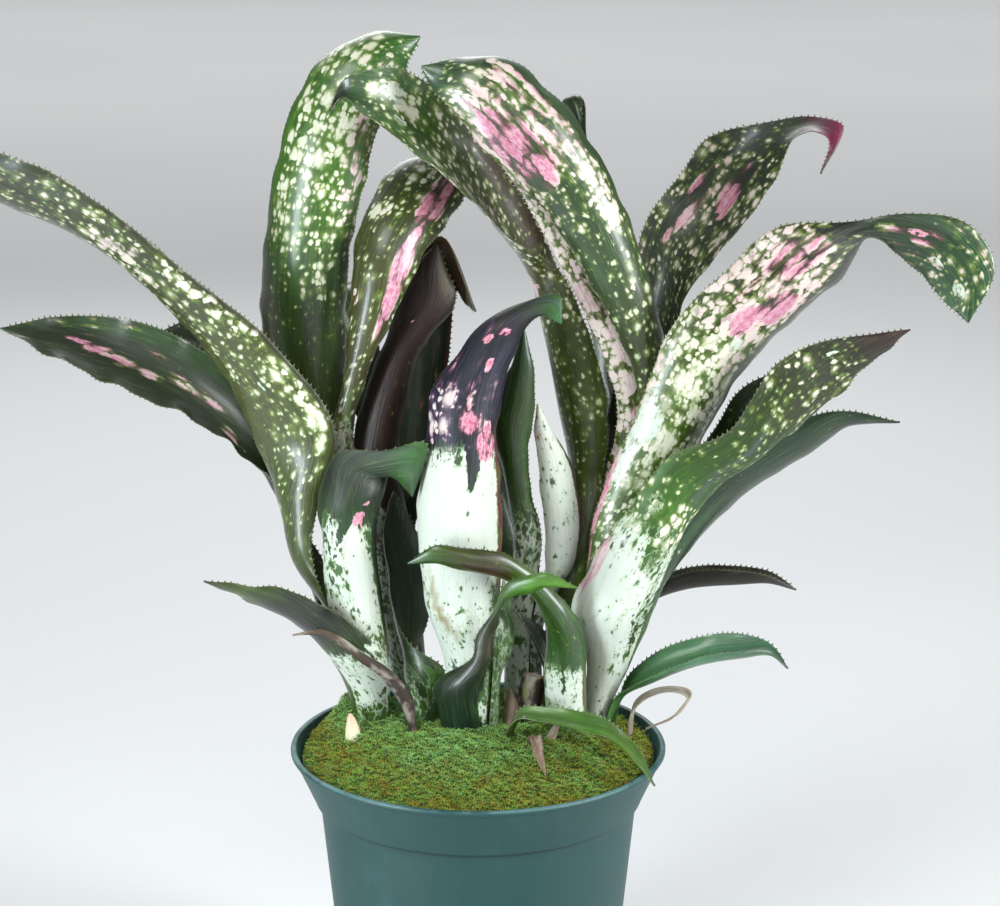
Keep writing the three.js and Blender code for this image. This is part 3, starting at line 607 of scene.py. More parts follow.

# %% [markdown]
# ## Moss finish
#
# Close up, moss is a mix of fresh yellow-green tips, older olive leaves and a few brown ones.
# Every shoot takes its place in that mix from its tone, and patches come from slow noise. The
# higher parts of the cushion are painted paler and greener, with fewer brown shoots, and painted
# shade darkens the gaps: the feet of the shoots and the mound below them.

# %% Moss finish
PALE_TOP_FROM, PALE_TOP_TO = 142 * MM, 153 * MM


def moss_green(name, has_tone):
    finish = Finish(name)
    place = finish.object_place()
    patch = finish.noise(place, 55, 3, 0.6)
    fine = finish.noise(place, 900, 2, 0.6)
    if has_tone:
        each, height, _ = finish.parts(finish.node("ShaderNodeVertexColor", {"layer_name": "tone"}))
    else:
        each, height = fine, fine * 0.1
    # the higher parts of the cushion are painted paler and greener
    level = finish.step(finish.height(place), PALE_TOP_FROM, PALE_TOP_TO)
    kind = each * 0.45 + patch * 0.8 - 0.16 + level * 0.18
    base = finish.node("ShaderNodeValToRGB", {"stops": [
        (0.0, linear(132, 94, 28)), (0.26, linear(160, 142, 38)), (0.46, linear(136, 170, 52)),
        (0.66, linear(128, 186, 88)), (1.0, linear(200, 232, 164))]}, {"Fac": kind})
    base = finish.mix(finish.step(fine, 0.55, 0.75) * 0.35, base, linear(176, 156, 64))
    base = finish.mix(level * 0.28, base, linear(132, 200, 130))
    base = finish.mix(finish.step(each, 0.78, 0.86) * (1 - level) * 0.7, base, linear(158, 108, 40))
    # painted shade: the feet of the shoots, and the mound below them, are darkened as the shaded gaps
    base = finish.mix((1 - finish.step(height, 0.05, 0.75)) * 0.75, base, linear(34, 44, 12))
    finish.set(Base_Color=base, Roughness=0.85, Normal=finish.bump(fine, 0.0004))
    return finish.material


add_piece(mound, "moss", moss_green("moss_under", False))
add_piece(carpet, None, moss_green("moss_tips", True))
print("moss finished")

# %% [markdown]
# ## The plan of the leaves
#
# Each leaf springs from one of the shoots, wraps it as a sheath and then opens as a blade. The
# numbers are those of the CAD source, in millimetres: the shoot's axis and radius, the layer in
# the shoot, the way the sheath faces and how far it wraps, then rows of the blade's two margins
# with the bulge of its back between them, and the tip.

# %% Shoots and litter
SHOOTS = {
    "left": [[-46, 14, 126, 7], [-47, 14, 150, 8], [-50, 13, 175, 12], [-55, 12, 205, 14.5],
             [-56, 12, 250, 15.5]],
    "rear_left": [[-30, 44, 126, 7.5], [-31, 44, 150, 8.5], [-38, 44, 200, 13], [-45, 44, 250, 16]],
    "small_left": [[-24, 16, 126, 4.5], [-24, 16, 150, 5.5]],
    "middle": [[-4, 9, 126, 10.5], [-4.5, 9, 150, 13], [-3, 9, 172, 13], [-7, 9, 207, 18.5]],
    "centre_rear": [[20, 38, 126, 7], [20, 38, 150, 8], [22, 38, 200, 8.5]],
    "rear_right": [[38, 48, 126, 7.5], [38, 48, 150, 8.5], [44, 46, 200, 12], [52, 44, 250, 16]],
    "right": [[53, 22, 126, 7], [53, 22, 150, 7.5], [58, 22, 172, 11.5], [60, 21, 195, 17],
              [62, 20, 215, 18.5]],
    "pup": [[39, 8, 126, 7.5], [39, 8, 150, 8.5], [38, 6, 180, 9]],
    "front": [[12, -11, 126, 2.8], [12, -11, 150, 2.8]],
}

LITTER = {
    "dry_left": [[-27, 1, 130, 2.5], [-28, 1, 150, 2.5]],
    "dry_right": [[66, 14, 130, 2.5], [66, 14, 150, 2.5]],
    "dry_middle": [[22, 17, 130, 4.5], [22, 17, 150, 5]],
    "dry_small": [[14, 10, 130, 3], [14, 10, 150, 3]],
    "dry_scale": [[30, -8, 130, 3], [31, -8, 148, 3]],
    "dry_strip": [[23, -17, 130, 2.2], [23, -18, 148, 2.2]],
}
print("shoots:", len(SHOOTS), "and scraps of litter:", len(LITTER))

# %% Leaves of the left shoots
LEAVES = {
    "left_low_leaf": ("dark_leaf", "left", 0, -100, 152, [150, 168],
     [[-67, 15, 182, -40, 3, 179, 10], [-79, 13, 193, -58, -5, 201, 6], [-95, 6, 203, -79, -7, 213, 3]],
     [-118, -12, 220]),
    "left_white_leaf": ("mottled_leaf", "left", 1, -70, 160, [150, 178, 205],
     [[-68, 9, 236, -45, 13, 235, 12], [-68, 9, 258, -40, 13, 258, 13], [-61, 8, 271, -39, 11, 261, 8],
      [-40, 3, 274, -36, 7, 261, 3], [-22, 0, 278, -32, 3, 258, 2]],
     [-28, 0, 254]),
    "left_arching_leaf": ("spotted_leaf", "left", 1, 165, 84, [150, 175, 198],
     [[-72, 30, 222, -73, 11, 226, 10], [-87, 32, 243, -69, 15, 250, 8],
      [-95, 30, 264, -62, 18, 275, 5], [-109, 26, 299, -86, 8, 318, 6],
      [-135, 18, 336, -120, -4, 351, 6], [-164, 8, 364, -152, -16, 381, 6],
      [-200, 2, 381, -185, -20, 402, 5], [-218, -4, 388, -208, -20, 407, 3]],
     [-235, -14, 394]),
    "left_spreading_leaf": ("dark_leaf", "left", 0, 134, 84, [150, 175],
     [[-60, 32, 194, -69, 24, 193, 5], [-73, 42, 213, -76, 36, 212, 5],
      [-81, 50, 243, -85, 38, 240, 6], [-97, 52, 285, -105, 34, 265, 6],
      [-120, 50, 306, -124, 28, 281, 5], [-150, 44, 322, -155, 22, 297, 4],
      [-180, 32, 327, -179, 14, 311, 3]],
     [-206, 16, 325]),
    "tall_left_leaf": ("spotted_leaf", "rear_left", 1, -165, 140, [150, 185, 215],
     [[-87, 58, 265, -57, 52, 271, 11], [-96, 52, 317, -59, 50, 313, 12],
      [-94, 48, 353, -56, 42, 354, 12], [-87, 46, 394, -49, 42, 385, 11],
      [-78, 48, 421, -43, 44, 408, 10], [-63, 54, 440, -34, 48, 426, 8], [-44, 62, 447, -30, 56, 435, 5]],
     [-25, 62, 445]),
    "pink_edged_leaf": ("spotted_leaf", "rear_left", 0, -100, 100, [150, 185, 215],
     [[-65, 32, 269, -55, 28, 272, 5], [-58, 30, 299, -48, 26, 303, 6],
      [-55, 30, 334, -33, 26, 335, 9], [-53, 36, 359, -23, 34, 355, 10],
      [-44, 48, 380, -14, 48, 365, 9], [-33, 60, 391, -6, 60, 377, 7]],
     [-9, 72, 394]),
    "brown_green_leaf": ("brown_leaf", "rear_left", 1, -35, 96, [150, 185, 215],
     [[-56, 40, 262, -36, 38, 265, 8], [-51, 42, 287, -32, 40, 288, 7],
      [-41, 44, 314, -23, 42, 314, 7], [-33, 46, 334, -10, 44, 331, 5], [-26, 48, 348, -14, 46, 346, 3]],
     [-18, 48, 356]),
    "dark_arching_leaf": ("dark_leaf", "rear_left", 2, 60, 84, [150, 185, 215],
     [[-18, 64, 263, -36, 58, 265, 6], [-13, 64, 307, -33, 58, 315, 5], [-9, 60, 333, -28, 54, 352, 4],
      [-7, 54, 330, -18, 50, 359, 2]],
     [-1, 46, 326]),
    "left_rear_leaf": ("dark_leaf", "rear_left", 1, 99, 44, [150, 185, 215],
     [[-62, 74, 256, -76, 67, 251, 6], [-94, 73, 300, -102, 58, 286, 5],
      [-129, 69, 318, -126, 55, 307, 4]],
     [-143, 61, 314]),
    "rear_left_arching_leaf": ("spotted_leaf", "rear_left", 0, 58, 50, [150, 185, 215],
     [[-32, 75, 256, -50, 77, 257, 6], [-46, 93, 300, -70, 96, 299, 6],
      [-55, 117, 326, -80, 121, 325, 5], [-58, 148, 321, -79, 151, 320, 4]],
     [-69, 179, 296]),
    "glossy_dark_leaf": ("dark_leaf", "small_left", 0, -100, 170, [146],
     [[-30, 15, 157, -18, 13, 158, 6], [-32, 21, 170, -15, 8, 173, 8], [-24, 28, 185, -31, 10, 185, 7],
      [-22, 29, 206, -39, 12, 213, 6], [-26, 28, 227, -41, 14, 235, 5], [-31, 26, 239, -40, 18, 244, 3]],
     [-37, 22, 251]),
}
print("leaves so far:", len(LEAVES))

# %% Leaves of the middle shoots
LEAVES |= {
    "white_plum_leaf": ("plum_leaf", "middle", 1, -95, 210, [150, 172, 207],
     [[-25, 9, 223, 10, 9, 223, 17], [-26, 9, 250, 10, 9, 255, 17], [-22, 10, 277, 8, 10, 280, 14],
      [-20, 12, 298, 11, 12, 298, 12], [-11, 14, 311, 15, 13, 313, 9], [5, 16, 329, 22, 14, 327, 6],
      [19, 17, 336, 27, 15, 331, 3], [35, 18, 339, 30, 15, 330, 1.5]],
     [36, 14, 327]),
    "dark_front_leaf": ("dark_leaf", "middle", 0, -105, 110, [150],
     [[-17, 2, 171, 3, -6, 174, 6], [-3, -7, 183, 5, -8, 184, 2], [1, -8, 197, 8, -9, 198, 2],
      [7, -11, 206, 10, -12, 209, 1.5], [13, -16, 220, 16, -16, 214, 1.5],
      [27, -20, 226, 27, -20, 219, 2]],
     [43, -22, 220]),
    "mottled_sheath_leaf": ("mottled_leaf", "middle", 0, 10, 110, [150, 172],
     [[7, -3, 190, 12, 18, 183, 6]],
     [11, 12, 215]),
    "middle_rear_leaf": ("mottled_leaf", "middle", 1, 85, 120, [150, 172, 207],
     [[10, 16, 248, -20, 16, 248, 10], [5, 20, 279, -17, 20, 279, 8]],
     [-4, 28, 313]),
    "green_tipped_leaf": ("dark_leaf", "centre_rear", 0, -150, 150, [150, 190],
     [[16, 36, 221, 28, 30, 224, 5], [12, 32, 255, 22, 26, 259, 5], [7, 28, 279, 23, 24, 278, 5],
      [12, 26, 300, 25, 24, 292, 5], [16, 24, 311, 23, 22, 311, 3]],
     [20, 22, 324]),
    "white_mottled_leaf": ("mottled_leaf", "centre_rear", 0, -20, 100, [150, 190],
     [[30, 29, 217, 44, 30, 220, 5], [28, 27, 246, 45, 28, 245, 6], [26, 27, 266, 39, 29, 265, 5],
      [25, 28, 279, 31, 29, 279, 3]],
     [26, 28, 289]),
    "centre_rear_leaf": ("dark_leaf", "centre_rear", 0, 87, 64, [150, 190],
     [[22, 54, 218, 6, 56, 218, 6], [14, 68, 252, -8, 70, 252, 6], [10, 92, 276, -14, 94, 276, 5],
      [4, 118, 282, -16, 120, 282, 4]],
     [-8, 146, 266]),
}
print("leaves so far:", len(LEAVES))

# %% Leaves of the rear right shoot
LEAVES |= {
    "arching_left_leaf": ("spotted_leaf", "rear_right", 0, -140, 130, [150, 185, 215],
     [[51, 66, 244, 56, 46, 253, 12], [48, 70, 281, 57, 47, 286, 17], [43, 72, 313, 47, 47, 321, 16],
      [34, 72, 344, 36, 46, 344, 13], [18, 62, 380, 16, 38, 359, 10], [-6, 46, 413, -6, 26, 382, 7],
      [-25, 36, 430, -28, 22, 401, 6], [-42, 28, 435, -47, 14, 417, 5], [-56, 22, 431, -56, 14, 424, 3]],
     [-62, 10, 419]),
    "great_arching_leaf": ("spotted_leaf", "rear_right", 0, -30, 80, [150, 185, 215],
     [[60, 42, 250, 79, 44, 255, 8], [71, 38, 284, 84, 42, 289, 6], [60, 30, 321, 77, 36, 333, 8],
      [49, 26, 342, 71, 33, 353, 9], [28, 20, 376, 54, 28, 394, 10], [2, 18, 403, 30, 26, 426, 9],
      [-12, 20, 420, 9, 28, 440, 7], [-20, 24, 428, -9, 29, 439, 3]],
     [-24, 26, 436]),
    "pink_strip_leaf": ("spotted_leaf", "rear_right", 1, -60, 110, [150, 185, 215],
     [[55, 50, 248, 73, 52, 250, 6], [62, 44, 278, 77, 50, 281, 5], [55, 38, 308, 71, 44, 314, 4],
      [44, 35, 333, 60, 42, 339, 3], [33, 32, 355, 49, 39, 363, 3], [18, 30, 382, 33, 37, 391, 3]],
     [6, 34, 399]),
    "right_rear_leaf": ("dark_leaf", "rear_right", 1, 50, 70, [150, 185, 215],
     [[77, 62, 273, 60, 74, 280, 8], [86, 60, 310, 68, 80, 325, 8], [94, 60, 333, 75, 86, 358, 8],
      [115, 64, 359, 91, 90, 380, 7], [131, 66, 381, 105, 90, 398, 6], [137, 64, 397, 124, 84, 404, 4],
      [146, 60, 404, 149, 70, 409, 1.5], [153, 54, 401, 159, 56, 407, 1.5]],
     [149, 46, 387]),
    "rear_curled_leaf": ("dark_leaf", "rear_right", 0, 107, 84, [150, 185, 215],
     [[74, 76, 270, 56, 84, 268, 7], [74, 92, 308, 51, 96, 308, 6], [66, 102, 348, 42, 106, 350, 6],
      [50, 104, 390, 33, 110, 389, 5], [47, 100, 413, 38, 106, 410, 3]],
     [46, 92, 403]),
}
print("leaves so far:", len(LEAVES))

# %% Leaves of the right shoot
LEAVES |= {
    "great_spotted_leaf": ("spotted_leaf", "right", 2, -105, 140, [150, 172, 205],
     [[52, 24, 242, 82, 34, 241, 11], [69, 20, 286, 98, 34, 271, 12], [85, 18, 327, 117, 32, 304, 12],
      [107, 18, 350, 138, 30, 327, 11], [131, 20, 369, 159, 28, 347, 9],
      [157, 22, 370, 168, 25, 363, 3], [185, 20, 374, 179, 22, 357, 2],
      [207, 18, 371, 189, 22, 349, 3], [221, 16, 349, 201, 20, 336, 2]],
     [211, 16, 327]),
    "right_sheath_leaf": ("mottled_leaf", "right", 1, -85, 180, [150, 172],
     [[42, 18, 202, 79, 22, 202, 18], [50, 12, 221, 82, 22, 215, 16], [66, 6, 248, 88, 22, 231, 12],
      [82, 2, 271, 104, 20, 253, 9], [108, 2, 283, 124, 18, 270, 8], [127, 4, 311, 145, 16, 286, 7],
      [145, 8, 320, 161, 16, 301, 4], [168, 12, 323, 175, 15, 315, 2]],
     [186, 14, 325]),
    "emerald_leaf": ("dark_leaf", "right", 2, 15, 90, [150, 172],
     [[73, 30, 214, 84, 46, 204, 6], [89, 28, 244, 103, 48, 227, 6], [113, 26, 267, 124, 44, 248, 6],
      [137, 26, 280, 146, 40, 263, 5], [157, 26, 286, 163, 34, 277, 2.5]],
     [185, 26, 281]),
    "right_inner_leaf": ("dark_leaf", "right", 3, 76, 70, [150, 172, 195],
     [[83, 44, 241, 94, 60, 236, 6], [105, 42, 274, 119, 58, 260, 5], [118, 40, 294, 133, 50, 286, 4]],
     [138, 42, 303]),
    "right_low_leaf": ("fresh_leaf", "right", -1, -30, 60, [150],
     [[61, 14, 158, 65, 24, 161, 3], [74, 8, 168, 77, 24, 174, 6], [94, 4, 179, 99, 24, 183, 7],
      [115, 0, 184, 118, 18, 186, 6], [129, 0, 182, 130, 8, 184, 1.5]],
     [136, 0, 176]),
    "right_short_leaf": ("brown_leaf", "right", 0, 85, 80, [150, 172],
     [[78, 52, 197, 76, 66, 195, 7], [91, 50, 204, 91, 64, 202, 8], [117, 46, 207, 119, 60, 205, 7],
      [131, 44, 205, 133, 54, 204, 4]],
     [144, 46, 198]),
}
print("leaves so far:", len(LEAVES))

# %% Leaves at the front, and litter
LEAVES |= {
    "pup_leaf": ("fresh_leaf", "pup", 0, -80, 200, [150, 175],
     [[30, 4, 188, 47, 6, 187, 9], [27, -2, 205, 40, -2, 205, 6], [22, -6, 213, 29, -6, 217, 3.5],
      [12, -10, 220, 15, -10, 230, 3], [-3, -15, 225, -2, -15, 235, 3],
      [-17, -17, 229, -18, -17, 237, 2]],
     [-30, -16, 229]),
    "pup_inner_leaf": ("dark_leaf", "pup", 1, 150, 120, [150, 168],
     [[35, 22, 173, 31, 12, 172, 4], [30, 24, 185, 26, 15, 182, 3]],
     [17, 18, 197]),
    "trailing_front_leaf": ("fresh_leaf", "front", 0, -30, 160, [150],
     [[17, -15, 158, 18, -7, 160, 2], [28, -20, 159, 30, -10, 162, 2.5],
      [42, -30, 159, 45, -16, 162, 3], [56, -38, 158, 58, -28, 161, 3], [66, -48, 153, 69, -40, 153, 2]],
     [75, -56, 143]),
    "left_dry_leaf": ("dry_leaf", "dry_left", 0, -130, 120, [148],
     [[-35, -1, 162, -29, 1, 163, 2], [-51, -5, 181, -49, -4, 184, 1], [-70, -4, 193, -69, -3, 195, 0.7]],
     [-81, -5, 193]),
    "right_dry_leaf": ("dry_leaf", "dry_right", 0, -20, 120, [144],
     [[68, 12, 152, 69, 16, 154, 1], [84, 8, 163, 85, 12, 164, 1], [92, 3, 162, 94, 5, 164, 1],
      [86, -3, 155, 89, -1, 156, 0.7]],
     [73, -8, 151]),
    "brown_dry_leaf": ("dry_leaf", "dry_middle", 0, -90, 150, [150],
     [[18, 16, 161, 29, 15, 161, 4], [21, 14, 170, 29, 10, 169, 2]],
     [34, 5, 167]),
    "tan_bract": ("dry_leaf", "dry_small", 0, -90, 150, [148],
     [[12, 10, 156, 18, 9, 155, 2]],
     [14, 11, 164]),
    "papery_scale": ("dry_leaf", "dry_scale", 0, -60, 120, [148],
     [[35, -13, 156, 37, -5, 156, 1.5], [46, -13, 154, 47, -6, 154, 1]],
     [56, -11, 151]),
    "dry_strip": ("dry_leaf", "dry_strip", 0, -90, 100, [149],
     [[22, -27, 155, 27, -26, 155, 0.8], [24, -41, 152, 28, -39, 152, 0.6]],
     [29, -54, 147]),
}
print("leaves:", len(LEAVES))

# %% [markdown]
# ## Rails into a surface
#
# A strap leaf is two long margins with a curved blade between them. So the surface is worked out
# from the rows of the plan: a smooth curve through the rows gives both margins and the bulge at
# any distance along, and an arc through the two margins gives every point across.

# %% Curve through the rows
LEAF_FOOT, LITTER_FOOT = 126.3, 130.3
LAYER_GAP, LAYER_SHARE = 1.2, 0.06


def shoot_at(profile, z):
    heights = [row[2] for row in profile]
    x, y, radius = (np.interp(z, heights, [row[k] for row in profile]) for k in (0, 1, 3))
    return x, y, radius


def sheath_row(layer, facing, wrap, profile, z):
    x, y, radius = shoot_at(profile, z)
    r = radius - layer * (LAYER_GAP + LAYER_SHARE * radius)
    middle, half = math.radians(facing), math.radians(wrap / 2)
    return [x + r * math.cos(middle - half), y + r * math.sin(middle - half), z,
            x + r * math.cos(middle + half), y + r * math.sin(middle + half), z, r * (1 - math.cos(half))]


def leaf_rows(slot, shoot, layer, facing, wrap, rings, blade, tip):
    profile = LITTER[shoot] if shoot in LITTER else SHOOTS[shoot]
    foot = LITTER_FOOT if shoot in LITTER else LEAF_FOOT
    return [sheath_row(layer, facing, wrap, profile, z) for z in (foot, *rings)] + blade + [[*tip, *tip, 0]]


class RailCurve:
    """A smooth curve through rows, measured in millimetres along their middles."""

    def __init__(self, rows):
        self.rows = np.array(rows, float)
        middles = (self.rows[:, :3] + self.rows[:, 3:6]) / 2
        steps = np.linalg.norm(np.diff(middles, axis=0), axis=1)
        self.knots = np.concatenate([[0], np.cumsum(steps)])
        rise = np.diff(self.rows, axis=0) / steps[:, None]
        self.slopes = np.empty_like(self.rows)
        self.slopes[0], self.slopes[-1] = rise[0], rise[-1]
        before, after = steps[:-1, None], steps[1:, None]
        self.slopes[1:-1] = (rise[:-1] * after + rise[1:] * before) / (before + after)

    def at(self, distance):
        d = np.clip(distance, 0, self.knots[-1])
        i = np.clip(np.searchsorted(self.knots, d) - 1, 0, len(self.knots) - 2)
        span = (self.knots[i + 1] - self.knots[i])[:, None]
        s = (d - self.knots[i])[:, None] / span
        start, end = self.rows[i], self.rows[i + 1]
        leave, arrive = self.slopes[i] * span, self.slopes[i + 1] * span
        a = 2 * (start - end) + leave + arrive
        b = 3 * (end - start) - 2 * leave - arrive
        return ((a * s + b) * s + leave) * s + start


print("rows of the great arching leaf:", len(leaf_rows(*LEAVES["great_arching_leaf"])))

# %% Points across the blade
def unit(vectors):
    return vectors / np.maximum(np.linalg.norm(vectors, axis=-1, keepdims=True), 1e-9)


WAVY_MARGINS = {"left_spreading_leaf": 0.9, "left_low_leaf": 0.9, "dark_front_leaf": 0.8,
                "right_sheath_leaf": 0.8}
USUAL_WAVE, LONG_WAVE, SHORT_WAVE = 0.45, 4.2, 2.3
WAVE_GROWS, WAVE_FADES = 30, 12
LOOK_AHEAD, LEAST_CHORD, LEAST_BULGE = 0.5, 0.05, 0.02


def name_number(name, limit):
    """A whole number below the limit that is always the same for one name."""
    return sum(map(ord, name)) % limit


class Blade:
    """The middle surface of a leaf: at a distance along it, and -1 to 1 across it."""

    def __init__(self, name, plan):
        self.rails = RailCurve(leaf_rows(*plan))
        self.length = self.rails.knots[-1]
        self.sheath = self.rails.knots[len(plan[5])]
        self.wave = WAVY_MARGINS.get(name, USUAL_WAVE)
        self.phase = name_number(name, 7)

    def ripple(self, distance, v):
        """Real margins are never quite straight: they wave a little, the sheath less than the blade."""
        grown = np.clip((distance - self.sheath) / WAVE_GROWS, 0, 1)
        free = grown * np.clip((self.length - distance) / WAVE_FADES, 0, 1)
        wave = np.sin(distance / LONG_WAVE + self.phase) + 0.5 * np.sin(distance / SHORT_WAVE - self.phase)
        sides = np.where(v > 0, 1.0, -0.8) * np.abs(v) ** 3
        return self.wave * (free * wave)[:, None] * sides[None, :]

    def frame(self, distance):
        """Directions along, across and out of the leaf, and the arc between its margins."""
        row = self.rails.at(distance)
        ahead, behind = self.rails.at(distance + LOOK_AHEAD), self.rails.at(distance - LOOK_AHEAD)
        along = unit((ahead[:, :3] + ahead[:, 3:6] - behind[:, :3] - behind[:, 3:6]) / 2)
        along[distance <= 0] = (0, 0, 1)
        across = row[:, 3:6] - row[:, :3]
        chord = np.maximum(np.linalg.norm(across, axis=1), LEAST_CHORD)
        across = unit(across)
        out = unit(np.cross(across, along))
        half = 2 * np.arctan(2 * np.maximum(row[:, 6], LEAST_BULGE) / chord)
        radius = chord / 2 / np.sin(half)
        centre = (row[:, :3] + row[:, 3:6]) / 2 - out * (radius * np.cos(half))[:, None]
        return along, across, out, half, radius, centre

    def points(self, distance, v):
        """Points and outward normals, one row for each distance and one column for each v."""
        _, across, out, half, radius, centre = self.frame(distance)
        angle = half[:, None] * v[None, :]
        normal = out[:, None, :] * np.cos(angle)[..., None] + across[:, None, :] * np.sin(angle)[..., None]
        out_from_centre = radius[:, None] + self.ripple(distance, v)
        return centre[:, None, :] + normal * out_from_centre[..., None], normal

    def widths(self, distance):
        _, _, _, half, radius, _ = self.frame(distance)
        return 2 * half * radius


blades = {name: Blade(name, plan) for name, plan in LEAVES.items()}
print("longest leaf, mm:", round(max(blade.length for blade in blades.values())))

# %% [markdown]
# ## Painting
#
# The markings are part of what this plant is: a white sheath that breaks up into green, cream and
# pink freckles on the blade, and dark or brown patches. Like a botanical painter, each leaf is
# first given soft washes: the ground colour along it, how many freckles, how pink, how white and
# how dark. The finish then breaks these washes up into crisp flecks. A wash is a list of stops
# along the leaf, and a dab is an oval patch at a place along and across it.
# Two dabs are not markings: one paints the shade inside a leaf's channel, the other a sheen of gloss.

# %% Washes of a plain leaf and of a dry one
PLAIN = {
    "ground": [(0, (96, 124, 62)), (0.4, (52, 76, 36)), (1, (36, 62, 32))],
    "cream": [(0, 0.05), (0.5, 0.2), (1, 0.2)], "pink": [(0, 0.1), (1, 0.4)],
    "white": [(0, 0.5), (0.2, 0.4), (0.35, 0)], "dark": [(0, 0), (1, 0.15)], "dabs": [],
}
BARE = {"cream": [(0, 0), (1, 0)], "white": [(0, 0), (1, 0)], "dark": [(0, 0), (1, 0)]}
print("washes of a plain leaf:", len(PLAIN))

